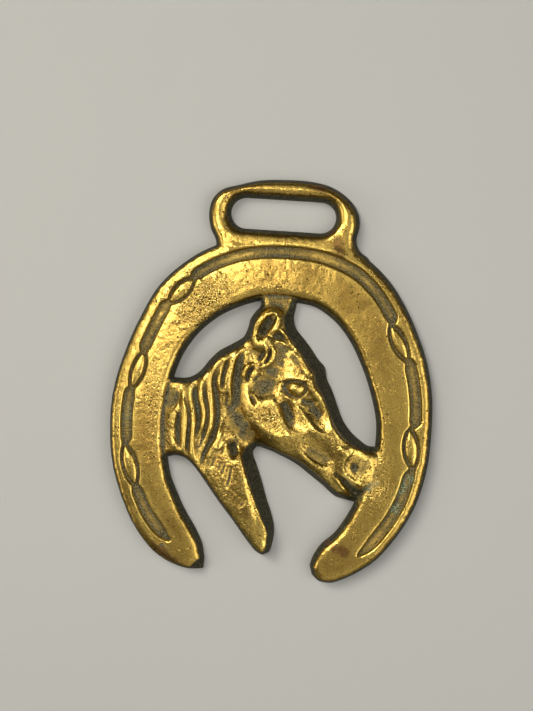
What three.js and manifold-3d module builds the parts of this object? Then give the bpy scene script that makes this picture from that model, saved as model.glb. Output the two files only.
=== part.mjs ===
// A horse brass: a cast harness ornament. A horseshoe with a strap loop above it frames the head of a
// horse in relief. It is one casting with a flat back. Millimetres, +Z up, lying on its back: the strap
// loop points to +Y and the relief faces +Z.
//
// In the tables below Y is counted from the heels of the shoe up to the loop. The finished mesh is
// moved down by half the length, so that the middle of its footprint is the origin.

import * as THREE from 'three';
import { mergeVertices } from 'three/addons/utils/BufferGeometryUtils.js';
import Module from 'manifold-3d';

const wasm = await Module();
wasm.setup();

// ---- Driving dimensions, millimetres ----

const LENGTH = 90; // heels to the top of the strap loop
const FACE = 3.6; // thickness of the shoe and the loop
const STEP = 1.7; // spacing of the points along an outline

// Walls lean inwards so that the casting leaves its mould. Each level is a height and an inset.
const SHOE_LEVELS = [[0, 0], [2.5, 0.6], [3.25, 1.0], [FACE, 1.7]];
const SLOT_LEVELS = [[-1, -0.2], [0, 0], [2.4, -0.7], [FACE, -1.6], [FACE + 1, -2.6]];

// Outer edge of the shoe, from the tip of the left heel over the top to the tip of the right heel.
const SHOE_OUTER = [
  [-12.9, 1.0], [-15.9, 0.7], [-18.5, 1.1], [-21.3, 2.1], [-24.7, 4.2], [-27.5, 7.1], [-30.1, 10.7],
  [-32.4, 15.3], [-34.2, 19.8], [-35.6, 25.0], [-36.3, 31.0], [-36.4, 37.0], [-35.7, 42.5], [-34.0, 49.0],
  [-31.3, 56.4], [-27.0, 64.7], [-20.6, 71.0], [-14.7, 74.5], [-8.0, 76.8], [0.5, 77.7], [9.0, 77.2],
  [15.5, 75.3], [20.0, 73.0], [24.7, 68.8], [28.5, 63.6], [31.6, 57.8], [34.3, 51.2], [36.0, 43.5],
  [36.4, 36.0], [36.1, 28.0], [34.5, 20.3], [32.6, 15.6], [29.8, 10.8], [26.1, 6.0], [22.9, 3.4],
  [19.5, 1.3], [16.1, 0.0], [13.4, 0.3], [11.8, 1.6],
];
// Inner edge of the shoe, back from the tip of the right heel to the tip of the left heel.
const SHOE_INNER = [
  [11.2, 3.6], [11.8, 5.8], [13.4, 8.6], [16.1, 11.3], [18.5, 15.0], [21.2, 21.0], [23.2, 27.0],
  [24.0, 32.0], [23.9, 37.0], [22.9, 41.2], [21.2, 46.2], [19.1, 50.8], [17.0, 54.5], [14.5, 57.7],
  [11.9, 60.0], [8.4, 62.0], [4.0, 62.7], [0.0, 63.0], [-4.0, 62.6], [-8.5, 61.0], [-12.9, 58.6],
  [-17.2, 54.7], [-20.3, 50.1], [-22.2, 45.0], [-23.2, 39.0], [-23.4, 33.0], [-23.0, 27.5],
  [-21.7, 21.6], [-20.1, 18.1], [-18.0, 14.1], [-15.4, 10.2], [-13.6, 6.8], [-12.8, 3.4],
];

// Outline of the strap loop. Its lower side lies inside the shoe.
const LOOP_OUTLINE = [
  [-14.6, 73.0], [-14.9, 75.4], [-16.3, 78.2], [-16.9, 81.3], [-16.4, 84.5], [-14.4, 86.9], [-10.4, 88.3],
  [-5.9, 89.5], [0.0, 90.0], [6.0, 89.9], [10.5, 88.9], [14.5, 86.4], [16.5, 83.7], [17.1, 80.8],
  [16.6, 77.4], [17.4, 75.3], [19.8, 73.2], [19.0, 70.0], [13.0, 68.5], [0.0, 68.0], [-11.0, 68.8],
];
// The slot for the strap is a rounded bar.
const SLOT = { x: -0.1, y: 82.0, length: 23.6, width: 6.9 };

// The groove runs along the outer edge and thins out over its last millimetres. It pinches at the tips of
// each nail mark and leaves a ring of even width round it.
const GROOVE = { halfWidth: 1.45, depth: 0.95, wall: 0.45, thinning: 6, pinch: 0.95, ring: 0.8 };
// How far in from the edge its middle is, at shares of the way round the shoe, from end to end.
const GROOVE_INSETS = [[0.047, 5.0], [0.1, 4.55], [0.2, 4.25], [0.5, 3.95], [0.94, 3.7]];
// The raised nail marks in the groove: two tips and a width.
const NAIL_MARKS = [
  { tips: [[-19.2, 66.4], [-24.1, 60.9]], width: 2.4 },
  { tips: [[-29.2, 49.1], [-31.4, 41.3]], width: 2.1 },
  { tips: [[-32.2, 27.9], [-29.3, 19.4]], width: 2.6 },
  { tips: [[25.6, 58.9], [29.7, 51.7]], width: 2.1 },
  { tips: [[31.4, 36.1], [32.7, 27.8]], width: 2.6 },
];
const NAIL_TOP = 3.7; // height of a nail mark above the back

// Outline of the head and neck. The third number is how far the side wall slopes in there, and the fourth
// how wide the rolled edge above the wall is. Three stretches run on into the shoe: the mane on the left,
// the ear at the top and the nose on the right.
const HEAD_OUTLINE = [
  [-26.0, 43.4, 1.0, 1.0], [-21.5, 43.9, 1.2, 1.2], [-18.8, 44.3, 1.4, 1.4], [-16.6, 45.8, 1.5, 1.6],
  [-14.5, 48.6, 1.6, 1.6], [-12.4, 50.8, 1.6, 1.4], [-9.5, 52.6, 1.7, 1.2], [-7.2, 54.3, 1.7, 1.0],
  [-6.4, 56.2, 1.6, 0.8], [-6.0, 58.2, 1.5, 0.7], [-5.0, 60.0, 1.4, 0.7], [-3.9, 61.5, 1.2, 0.8],
  [-3.6, 66.0, 1.0, 0.8], [4.2, 66.0, 1.0, 0.8], [4.1, 61.7, 1.6, 0.8], [3.8, 59.2, 2.2, 0.8],
  [4.4, 57.0, 2.4, 0.8], [6.2, 54.9, 2.4, 0.8], [8.0, 52.8, 2.5, 1.0], [9.9, 50.3, 2.6, 1.2],
  [11.5, 48.6, 2.7, 1.2], [12.1, 46.2, 2.6, 1.2], [13.5, 43.5, 2.4, 1.3], [15.0, 40.0, 2.2, 1.4],
  [16.4, 37.0, 2.1, 1.5], [18.2, 34.7, 2.0, 1.7], [20.5, 32.8, 1.6, 2.0], [22.3, 31.7, 1.2, 2.0],
  [26.5, 31.0, 1.0, 1.0], [26.5, 18.5, 1.0, 1.0], [20.5, 18.8, 1.0, 1.6], [18.0, 19.2, 0.9, 2.6],
  [15.6, 19.9, 0.8, 2.8], [12.9, 22.0, 0.8, 3.0], [9.6, 24.3, 0.8, 3.2], [6.5, 26.4, 0.8, 3.3],
  [3.0, 28.0, 0.8, 3.4], [0.0, 29.1, 1.0, 3.2], [-2.6, 29.6, 1.6, 2.0], [-3.4, 28.4, 2.2, 0.5],
  [-2.4, 25.6, 2.5, 0.5], [-1.0, 22.0, 2.6, 0.5], [0.4, 18.0, 2.4, 0.6], [1.8, 14.4, 2.2, 0.8],
  [2.6, 11.2, 1.6, 1.2], [2.4, 8.0, 1.4, 1.5], [1.7, 5.8, 1.3, 1.6], [0.4, 5.1, 1.3, 1.6],
  [-1.2, 5.8, 1.2, 1.8], [-3.5, 8.2, 1.0, 2.0], [-7.0, 12.5, 0.9, 2.2], [-10.6, 16.7, 0.9, 2.4],
  [-14.0, 21.0, 0.9, 2.4], [-16.5, 24.0, 1.0, 2.2], [-18.3, 25.6, 1.1, 1.8], [-20.4, 26.3, 1.2, 1.4],
  [-26.0, 25.8, 1.0, 1.0],
];
// Heights up the side wall of the head and the share of the slope reached there.
const HEAD_LEVELS = [[0, 0], [0.9, 0.12], [4.6, 0.85], [7.5, 1.3]];

// ---- The relief of the head ----

// The locks run mostly along Y, so the relief is finer across.
const RELIEF = { across: 0.66, along: 1.0, left: -27, right: 27.5, low: 3, high: 67 };
const ROLL_DEPTH = 0.62; // depth of the rolled edge, as a share of its width
// The broad forms: centre, half sizes, turn in degrees, height above the back. Between them the surface is
// blended. Where the head runs into the shoe it lies below the shoe's face.
const FORMS = [
  { at: [-24.4, 35.0], size: [3.0, 12.0], turn: 0, height: 2.5 }, // mane, tie to the left arm
  { at: [-19.6, 33.0], size: [2.0, 8.0], turn: 0, height: 4.2 }, // mane, back locks
  { at: [-14.8, 38.5], size: [3.4, 6.5], turn: 10, height: 4.3 }, // mane, middle locks
  { at: [-15.4, 28.5], size: [3.0, 4.0], turn: 10, height: 4.8 }, // mane, lower end
  { at: [-10.0, 45.0], size: [3.0, 6.5], turn: -10, height: 4.5 }, // mane, front locks
  { at: [-7.4, 42.0], size: [1.2, 5.0], turn: 0, height: 3.7 }, // hollow in front of the mane
  { at: [-6.0, 34.4], size: [4.4, 1.6], turn: -52, height: 3.1 }, // throat
  { at: [-10.6, 30.0], size: [3.4, 5.0], turn: 20, height: 5.1 }, // neck, upper part
  { at: [-8.0, 21.0], size: [5.0, 7.0], turn: 35, height: 5.4 }, // neck, middle
  { at: [-1.4, 10.5], size: [3.0, 5.0], turn: 35, height: 4.9 }, // neck, tip
  { at: [-2.6, 39.4], size: [3.6, 2.6], turn: 20, height: 6.1 }, // cheek
  { at: [1.4, 38.6], size: [2.0, 3.6], turn: 20, height: 6.1 }, // cheek, front
  { at: [2.4, 33.2], size: [7.0, 1.8], turn: -8, height: 6.3 }, // edge of the jowl
  { at: [4.0, 29.6], size: [7.0, 2.0], turn: -22, height: 5.9 }, // jaw
  { at: [14.6, 23.4], size: [6.0, 1.8], turn: -35, height: 5.7 }, // lower lip and chin
  { at: [-2.0, 57.0], size: [2.2, 4.0], turn: -22, height: 5.0 }, // ear
  { at: [-2.0, 52.0], size: [2.2, 2.6], turn: 0, height: 5.5 }, // root of the ear
  { at: [-5.2, 46.4], size: [1.6, 3.0], turn: 0, height: 5.0 }, // curl of the forelock
  { at: [0.4, 65.0], size: [6.0, 3.4], turn: 0, height: 2.3 }, // tie above the ear
  { at: [3.8, 60.0], size: [1.6, 3.6], turn: 0, height: 2.6 }, // low ground beside the ear
  { at: [1.8, 50.4], size: [2.0, 5.0], turn: 8, height: 5.0 }, // forehead
  { at: [5.2, 48.2], size: [3.6, 2.0], turn: 0, height: 6.2 }, // brow
  { at: [5.0, 43.4], size: [3.0, 2.2], turn: 0, height: 5.1 }, // eye socket
  { at: [-1.8, 43.4], size: [3.4, 2.0], turn: 10, height: 4.7 }, // hollow behind the eye
  { at: [9.6, 44.0], size: [1.8, 3.6], turn: 25, height: 5.9 }, // ridge in front of the eye
  { at: [4.6, 38.2], size: [1.6, 3.0], turn: 26, height: 4.7 }, // hollow below the eye
  { at: [10.2, 39.2], size: [3.0, 1.8], turn: -40, height: 4.9 }, // hollow beside the nose
  { at: [12.6, 34.0], size: [4.0, 2.6], turn: -35, height: 6.5 }, // bridge of the nose
  { at: [16.4, 30.6], size: [2.4, 2.4], turn: 0, height: 6.3 }, // end of the nose
  { at: [11.4, 29.8], size: [4.2, 1.6], turn: -22, height: 4.8 }, // hollow above the lip
  { at: [19.8, 27.4], size: [2.6, 2.8], turn: 0, height: 5.9 }, // muzzle
  { at: [17.4, 24.2], size: [2.0, 1.4], turn: -40, height: 4.8 }, // mouth
  { at: [24.6, 26.0], size: [2.4, 6.0], turn: 0, height: 3.3 }, // nose, tie to the right arm
  { at: [21.6, 20.0], size: [2.4, 1.8], turn: -30, height: 2.2 }, // notch below the chin
];
// Rounded swellings and hollows on them: centre, half sizes, turn in degrees, rise.
const DOMES = [
  { at: [5.6, 44.3], size: [2.2, 2.0], turn: 0, rise: 1.3 }, // eyeball
  { at: [20.0, 27.5], size: [3.3, 3.2], turn: 0, rise: 1.0 }, // nostril wing
  { at: [19.8, 27.2], size: [1.6, 1.4], turn: 0, rise: -1.5 }, // nostril
  { at: [-1.7, 43.2], size: [3.6, 2.9], turn: 10, rise: -0.8 }, // hollow behind the eye
  { at: [-2.5, 53.2], size: [2.4, 1.7], turn: 10, rise: 0.6 }, // root of the ear
];
// Strands and creases: rise (a crease is negative), width on the right and on the left of the way along
// the line, then points along it.
const STROKES = [
  // locks of the mane, from the poll down
  [0.9, 1.2, 0.6, [-20.9, 37.0], [-21.5, 34.0], [-21.4, 30.8], [-20.3, 28.2]],
  [0.9, 1.0, 0.6, [-19.9, 41.0], [-18.9, 37.8], [-18.5, 34.9], [-18.7, 27.3]],
  [1.1, 1.1, 0.7, [-17.2, 44.2], [-18.3, 40.8], [-16.7, 34.2], [-16.9, 30.5], [-15.8, 24.6]],
  [1.0, 0.9, 0.6, [-14.7, 45.8], [-15.7, 42.6], [-14.6, 37.0], [-15.6, 31.6]],
  [1.2, 1.3, 0.6, [-11.5, 49.2], [-13.9, 43.9], [-12.9, 36.6], [-13.8, 31.0]],
  [1.0, 1.0, 0.6, [-9.8, 50.1], [-11.8, 45.0], [-11.7, 42.0]],
  [1.2, 1.3, 0.7, [-7.4, 51.6], [-9.5, 46.4], [-9.8, 43.6], [-9.4, 40.4]],
  // creases between the locks
  [-0.8, 0.6, 0.8, [-20.4, 36.8], [-20.3, 32.1], [-19.8, 28.6]],
  [-0.8, 0.6, 0.9, [-19.3, 40.4], [-18.1, 36.6], [-17.9, 27.4]],
  [-1.0, 0.6, 1.0, [-17.2, 43.0], [-17.0, 40.2], [-15.8, 34.6], [-16.0, 31.6]],
  [-0.9, 0.6, 0.8, [-15.1, 43.6], [-13.8, 36.6], [-14.3, 32.2], [-15.0, 29.2]],
  [-1.0, 0.6, 1.1, [-11.7, 48.3], [-12.9, 44.6], [-11.7, 36.0], [-12.9, 30.6], [-14.8, 23.8]],
  [-0.9, 0.6, 0.8, [-10.0, 48.9], [-10.9, 45.4], [-11.0, 42.4]],
  [-0.7, 0.8, 1.0, [-7.2, 50.4], [-7.7, 42.6], [-8.1, 39.0], [-9.3, 37.0]],
  // neck
  [0.8, 0.6, 0.9, [-10.7, 34.2], [-11.3, 30.9], [-13.6, 26.4]],
  [-2.0, 0.9, 0.9, [-8.2, 30.4], [-7.1, 27.6]],
  [0.4, 1.6, 0.8, [-7.0, 30.0], [-5.2, 23.0], [-2.1, 13.2]],
  // ear, poll and forelock
  [1.1, 0.8, 0.8, [-4.3, 53.8], [-4.4, 56.0], [-2.9, 59.3], [-1.6, 60.2], [0.9, 59.9]],
  [1.0, 0.75, 0.75, [0.9, 59.9], [0.1, 57.0], [-1.0, 55.2]],
  [-1.5, 0.95, 0.95, [-3.0, 55.2], [-2.0, 57.4], [-0.9, 59.0]],
  [0.7, 0.6, 0.6, [1.3, 56.2], [2.6, 55.0], [3.9, 53.0]],
  [-0.8, 0.8, 0.8, [-0.4, 55.1], [1.0, 55.1], [2.4, 54.5]],
  [0.9, 0.7, 0.7, [-0.7, 53.6], [0.1, 50.8], [-0.6, 48.7], [-2.2, 47.7]],
  [-0.8, 0.6, 0.6, [-1.6, 51.6], [-2.4, 49.2]],
  [0.9, 0.6, 0.6, [-4.0, 48.4], [-5.8, 47.4], [-6.5, 44.9]],
  [-0.9, 0.6, 0.6, [-4.3, 47.8], [-5.6, 44.4]],
  // brow and eye
  [0.5, 0.8, 1.2, [4.6, 52.4], [7.1, 50.4], [7.6, 48.7]],
  [-0.8, 0.6, 0.6, [3.3, 44.8], [4.2, 45.9], [6.6, 45.9]],
  [-0.6, 0.6, 0.6, [7.6, 44.1], [6.8, 42.6], [4.6, 42.2], [3.4, 43.2]],
  [0.6, 0.8, 0.8, [8.1, 46.4], [8.7, 44.8], [9.6, 43.0]],
  // cheek
  [-0.7, 0.6, 0.6, [-4.3, 41.4], [-3.2, 39.7]],
  [0.4, 1.6, 0.6, [0.4, 41.2], [1.6, 38.8], [4.4, 34.6]],
  [-1.2, 1.0, 1.2, [3.3, 40.2], [4.5, 38.2], [5.4, 36.2]],
  [0.5, 1.5, 0.6, [5.6, 40.2], [9.2, 36.3], [12.8, 33.8]],
  [-0.8, 1.1, 1.1, [8.8, 39.8], [11.8, 37.6]],
  // muzzle
  [-0.7, 1.1, 1.1, [8.4, 30.9], [10.9, 29.6], [14.4, 28.5]],
  [0.5, 1.0, 0.7, [7.4, 30.0], [11.2, 27.0], [14.2, 27.4]],
  [-0.7, 0.6, 0.6, [17.9, 30.4], [16.7, 27.6], [17.8, 25.4]],
  [-1.6, 0.8, 0.8, [16.4, 25.6], [18.6, 23.2], [21.8, 21.2]],
];

const TOP_FACE = 4; // a box geometry's group of triangles on its +Z side

// ---- Lines, outlines and solids ----

// Points at even steps along a smooth line through the given points.
function smooth(points, closed) {
  const curve = new THREE.CatmullRomCurve3(
    points.map(([x, y, z = 0]) => new THREE.Vector3(x, y, z)),
    closed,
    'centripetal',
  );
  const spaced = curve.getSpacedPoints(Math.round(curve.getLength() / STEP));
  return closed ? spaced.slice(0, -1) : spaced;
}

// Anticlockwise, seen from the front.
function anticlockwise(outline) {
  return THREE.ShapeUtils.isClockWise(outline) ? outline.slice().reverse() : outline;
}

// The unit vector to the left of a line at each of its points.
function leftNormals(line, closed) {
  const last = line.length - 1;
  return line.map((point, i) => {
    const before = line[i > 0 ? i - 1 : closed ? last : 0];
    const after = line[i < last ? i + 1 : closed ? 0 : last];
    return new THREE.Vector3(before.y - after.y, after.x - before.x, 0).normalize();
  });
}

// A closed solid over a stack of rings, each a list of points. Every ring turns anticlockwise, seen
// from the side of the last ring. The two end rings are flat, and `ends` gives them again in 2D.
function solidFromRings(rings, ends) {
  const size = rings[0].length;
  const triangles = [];
  for (let k = 0; k < rings.length - 1; k++) {
    for (let i = 0; i < size; i++) {
      const [a, b] = [k * size + i, k * size + (i + 1) % size];
      triangles.push(a, b, b + size, a, b + size, a + size);
    }
  }
  const cap = (flat, offset, turned) => {
    for (const [a, b, c] of THREE.ShapeUtils.triangulateShape(flat, [])) {
      const left = THREE.ShapeUtils.area([flat[a], flat[b], flat[c]]) > 0;
      triangles.push(...(left !== turned ? [a, b, c] : [a, c, b]).map((i) => i + offset));
    }
  };
  cap(ends[0], 0, true);
  cap(ends[1], (rings.length - 1) * size, false);
  const positions = rings.flat().flatMap((p) => [p.x, p.y, p.z]);
  return solid(Float32Array.from(positions), Uint32Array.from(triangles));
}

function solid(vertProperties, triVerts) {
  return new wasm.Manifold(new wasm.Mesh({ numProp: 3, vertProperties, triVerts }));
}

function solidFromGeometry(geometry) {
  geometry.deleteAttribute('normal');
  geometry.deleteAttribute('uv');
  const merged = mergeVertices(geometry);
  return solid(Float32Array.from(merged.attributes.position.array), Uint32Array.from(merged.index.array));
}

// A flat-backed plate whose wall passes through the levels, each a height and an inset of the outline.
// `slopes` widens the inset from place to place.
function castPlate(outline, levels, slopes) {
  const normals = leftNormals(outline, true);
  const rings = levels.map(([height, inset]) => outline.map((point, i) => {
    const ringPoint = point.clone().addScaledVector(normals[i], inset * (slopes ? slopes[i] : 1));
    return ringPoint.setZ(height);
  }));
  return solidFromRings(rings, [rings[0], rings.at(-1)].map(
    (ring) => ring.map((p) => new THREE.Vector2(p.x, p.y)),
  ));
}

// ---- The shoe ----

function shoePlate() {
  const outer = smooth(SHOE_OUTER, false);
  const inner = smooth(SHOE_INNER, false);
  return castPlate(anticlockwise([...outer, ...inner]), SHOE_LEVELS);
}

function strapLoop() {
  return castPlate(anticlockwise(smooth(LOOP_OUTLINE, true)), SHOE_LEVELS);
}

function strapSlot() {
  const radius = SLOT.width / 2;
  const reach = SLOT.length / 2 - radius;
  const shape = new THREE.Shape();
  shape.absarc(SLOT.x + reach, SLOT.y, radius, -Math.PI / 2, Math.PI / 2);
  shape.absarc(SLOT.x - reach, SLOT.y, radius, Math.PI / 2, Math.PI * 1.5);
  const outline = shape.getPoints(12).slice(0, -1).map((p) => new THREE.Vector3(p.x, p.y, 0));
  return castPlate(outline, SLOT_LEVELS);
}

// A number from a table of pairs, read between them and held past its ends.
function lookUp(table, at) {
  const next = table.findIndex(([key]) => key > at);
  if (next <= 0) return table.at(next)[1];
  const [[k0, v0], [k1, v1]] = [table[next - 1], table[next]];
  return THREE.MathUtils.mapLinear(at, k0, k1, v0, v1);
}

// Along a nail mark's axis, -1 and 1 at its tips, and the vector from the axis out to the point.
function besideNail(point, { tips: [[x0, y0], [x1, y1]] }) {
  const from = point.clone().sub(new THREE.Vector3((x0 + x1) / 2, (y0 + y1) / 2, 0));
  const halfAxis = new THREE.Vector3((x1 - x0) / 2, (y1 - y0) / 2, 0);
  const along = from.dot(halfAxis) / halfAxis.lengthSq();
  return { along, out: from.addScaledVector(halfAxis, -along) };
}

// The groove's middle and half width at one point of its run. Beside a nail mark its middle is the mark's
// axis, and its width grows from the tips to the mark's own middle.
function grooveAt(middle, fade) {
  const { smoothstep, lerp } = THREE.MathUtils;
  for (const mark of NAIL_MARKS) {
    const { along, out } = besideNail(middle, mark);
    const past = Math.abs(along);
    if (past > 1.5 || out.length() > 6) continue;
    const swell = lerp(GROOVE.pinch, mark.width / 2 + GROOVE.ring, 1 - past * past);
    const opening = lerp(GROOVE.pinch, GROOVE.halfWidth, smoothstep(past, 1, 1.5));
    const follow = 1 - smoothstep(past, 0.9, 1.3);
    return { middle: middle.clone().addScaledVector(out, -follow), half: past < 1 ? swell : opening };
  }
  return { middle, half: GROOVE.halfWidth * fade };
}

// The groove: a channel with leaning walls.
function grooveCutter() {
  const edge = smooth(SHOE_OUTER, false);
  const normals = leftNormals(edge, false);
  const last = edge.length - 1;
  const [start, end] = [GROOVE_INSETS[0][0], GROOVE_INSETS.at(-1)[0]].map((share) => share * last);
  const rings = [];
  const sections = [];
  for (let i = Math.ceil(start); i <= end; i++) {
    const toEnd = Math.min(i - start, end - i) * STEP;
    const fade = Math.sqrt(Math.min(1, (toEnd + 0.2) / GROOVE.thinning));
    // The edge runs clockwise, so the middle of the shoe is on its right.
    const inward = normals[i].clone().negate();
    const run = edge[i].clone().addScaledVector(inward, lookUp(GROOVE_INSETS, i / last));
    const { middle, half } = grooveAt(run, fade);
    const floor = half - GROOVE.wall * fade;
    const bottom = FACE - GROOVE.depth * fade;
    const section = [
      [half + 0.5, FACE + 1], [half, FACE], [floor, bottom],
      [-floor, bottom], [-half, FACE], [-half - 0.5, FACE + 1],
    ];
    rings.push(section.map(([across, z]) => middle.clone().addScaledVector(inward, across).setZ(z)));
    // Seen against the way of the edge, inward is on the left.
    sections.push(section.map(([across, z]) => new THREE.Vector2(-across, z)));
  }
  return solidFromRings(rings, [sections[0], sections.at(-1)]);
}

// A nail mark: a grain with pointed tips and a broad top.
function nailMark({ tips: [[x0, y0], [x1, y1]], width }) {
  const geometry = new THREE.SphereGeometry(1, 10, 12);
  const half = Math.hypot(x1 - x0, y1 - y0) / 2;
  const base = FACE - GROOVE.depth - 0.3;
  const position = geometry.attributes.position;
  for (let i = 0; i < position.count; i++) {
    const along = position.getY(i);
    const body = Math.max(0, 1 - along * along);
    const angle = Math.atan2(position.getZ(i), position.getX(i));
    const across = Math.cos(angle) * body ** 0.8 * (width / 2);
    const rise = Math.sign(angle) * Math.abs(Math.sin(angle)) ** 0.8 * body ** 0.25;
    position.setXYZ(i, across, along * half, base + rise * (NAIL_TOP - base));
  }
  geometry.rotateZ(Math.atan2(y1 - y0, x1 - x0) - Math.PI / 2);
  geometry.translate((x0 + x1) / 2, (y0 + y1) / 2, 0);
  return solidFromGeometry(geometry);
}

// ---- The head ----

// Distance to a line, the place on it as a share of its runs, and whether the point is on its left.
function distanceToLine(x, y, line) {
  let best = { distance: Infinity, share: 0, left: false };
  for (let i = 0; i < line.length - 1; i++) {
    const [[x0, y0], [x1, y1]] = [line[i], line[i + 1]];
    const [dx, dy] = [x1 - x0, y1 - y0];
    const t = THREE.MathUtils.clamp(((x - x0) * dx + (y - y0) * dy) / (dx * dx + dy * dy), 0, 1);
    const distance = Math.hypot(x - x0 - t * dx, y - y0 - t * dy);
    if (distance > best.distance) continue;
    best = { distance, share: (i + t) / (line.length - 1), left: dx * (y - y0) > dy * (x - x0) };
  }
  return best;
}

// The square of a point's distance from the middle of an oval, where its edge is at 1.
function ovalDistance(x, y, { at, size, turn }) {
  const angle = THREE.MathUtils.degToRad(turn);
  const [dx, dy] = [x - at[0], y - at[1]];
  const u = (dx * Math.cos(angle) + dy * Math.sin(angle)) / size[0];
  const v = (dy * Math.cos(angle) - dx * Math.sin(angle)) / size[1];
  return u * u + v * v;
}

// How far the rolled edge of the head falls below the surface at one point.
function rolledEdge(x, y) {
  const edge = [...HEAD_OUTLINE, HEAD_OUTLINE[0]];
  const { distance, share } = distanceToLine(x, y, edge);
  const place = share * HEAD_OUTLINE.length;
  const [before, after] = [edge[Math.floor(place)], edge[Math.ceil(place)]];
  const [slope, width] = [2, 3].map((k) => THREE.MathUtils.lerp(before[k], after[k], place % 1));
  const short = THREE.MathUtils.clamp(1 - (distance - 0.6 * slope) / width, 0, 1);
  return ROLL_DEPTH * width * (1 - Math.sqrt(1 - short * short));
}

// Height of the relief above the back at one point.
function reliefHeight(x, y) {
  let [total, weights] = [0, 0];
  for (const form of FORMS) {
    const weight = Math.exp(-1.5 * ovalDistance(x, y, form)) + 1e-9 / (1 + ovalDistance(x, y, form));
    total += weight * form.height;
    weights += weight;
  }
  let height = total / weights;
  for (const dome of DOMES) {
    height += dome.rise * Math.max(0, 1 - ovalDistance(x, y, dome)) ** 1.2;
  }
  for (const [rise, right, left, ...line] of STROKES) {
    const nearest = distanceToLine(x, y, line);
    const taper = Math.min(1, 0.35 + 5 * nearest.share * (1 - nearest.share));
    height += rise * taper * Math.exp(-((nearest.distance / (nearest.left ? left : right)) ** 2.6));
  }
  return height - rolledEdge(x, y);
}

// The diagonal of each cell on the top face runs the way on which the surface changes least.
function turnDiagonals(geometry) {
  const { index, attributes: { position } } = geometry;
  const { start, count } = geometry.groups[TOP_FACE];
  for (let i = start; i < start + count; i += 6) {
    const [a, b, d, c] = [index.getX(i), index.getX(i + 1), index.getX(i + 2), index.getX(i + 4)];
    const change = (from, to) => Math.abs(position.getZ(from) - position.getZ(to));
    if (change(a, c) < change(b, d)) index.array.set([a, b, c, a, c, d], i);
  }
}

// A block with the relief on top, deeper than the casting so that only its top is used.
function reliefBlock() {
  const { across, along, left, right, low, high } = RELIEF;
  const [width, length] = [right - left, high - low];
  const [columns, rows] = [Math.round(width / across), Math.round(length / along)];
  const geometry = new THREE.BoxGeometry(width, length, 2, columns, rows, 1);
  geometry.translate((left + right) / 2, (low + high) / 2, 0);
  const position = geometry.attributes.position;
  for (let i = 0; i < position.count; i++) {
    const top = position.getZ(i) > 0;
    position.setZ(i, top ? reliefHeight(position.getX(i), position.getY(i)) : -1);
  }
  turnDiagonals(geometry);
  return solidFromGeometry(geometry);
}

function head() {
  // The third coordinate carries the slope of the wall along the smooth outline.
  const outline = anticlockwise(smooth(HEAD_OUTLINE, true));
  const slopes = outline.map((p) => p.z);
  const flat = outline.map((p) => new THREE.Vector3(p.x, p.y, 0));
  return castPlate(flat, HEAD_LEVELS, slopes).intersect(reliefBlock());
}

// ---- The casting ----

let casting = shoePlate().add(strapLoop()).subtract(strapSlot()).subtract(grooveCutter());
for (const mark of NAIL_MARKS) casting = casting.add(nailMark(mark));
casting = casting.add(head());

const mesh = casting.getMesh();
const geometry = new THREE.BufferGeometry();
geometry.setAttribute('position', new THREE.BufferAttribute(mesh.vertProperties, 3));
geometry.setIndex(new THREE.BufferAttribute(mesh.triVerts, 1));
geometry.computeVertexNormals();

const brass = new THREE.MeshStandardMaterial({ color: 0xa98a3e, metalness: 1, roughness: 0.36 });
const horseBrass = new THREE.Mesh(geometry, brass);
horseBrass.name = 'horse_brass';
horseBrass.position.y = -LENGTH / 2;

const group = new THREE.Group();
group.add(horseBrass);

export default group;
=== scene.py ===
"""A cast horse brass lying on its flat back: a horseshoe with a strap loop frames a horse's head.

The casting is one height field. Every height is a function of (x, y), in millimetres, with Y counted
from the heels of the shoe up to the strap loop, as in the part's own drawing. The finished mesh is
moved down by half the length and turned into metres.
"""
import math

import bpy
import numpy as np
from mathutils import Matrix, Vector
from mathutils.geometry import delaunay_2d_cdt


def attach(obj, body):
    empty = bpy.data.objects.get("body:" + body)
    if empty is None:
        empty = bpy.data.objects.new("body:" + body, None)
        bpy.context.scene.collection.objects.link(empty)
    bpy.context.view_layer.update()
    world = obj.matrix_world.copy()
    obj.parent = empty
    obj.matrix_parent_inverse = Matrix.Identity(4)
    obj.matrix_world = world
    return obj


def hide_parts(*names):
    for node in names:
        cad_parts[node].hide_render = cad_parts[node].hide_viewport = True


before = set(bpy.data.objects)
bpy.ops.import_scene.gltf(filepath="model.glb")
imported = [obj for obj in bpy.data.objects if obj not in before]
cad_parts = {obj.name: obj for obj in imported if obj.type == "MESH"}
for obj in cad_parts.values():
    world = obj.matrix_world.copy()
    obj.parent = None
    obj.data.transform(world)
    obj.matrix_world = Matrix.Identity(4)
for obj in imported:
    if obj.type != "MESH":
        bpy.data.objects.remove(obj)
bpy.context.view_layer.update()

MM = 0.001
LENGTH = 90.0  # heels to the top of the strap loop
FACE = 3.6  # thickness of the shoe and the loop

# ---- Camera, looking down on the lying brass ----

LENS, SENSOR = 68.0, 36.0  # focal length and sensor width
NEAREST = 10.0  # nothing nearer to the camera is drawn
CAMERA_AIM = (-1.6, 5.5, FACE)  # from the middle of the brass
CAMERA_DISTANCE = 300.0
CAMERA_TO_RIGHT, CAMERA_TO_LOOP, CAMERA_TURN = (math.radians(a) for a in (3.5, 2.5, 3.9))


def add_object(name, data):
    """A new object in the scene."""
    thing = bpy.data.objects.new(name, data)
    bpy.context.scene.collection.objects.link(thing)
    return thing


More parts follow.
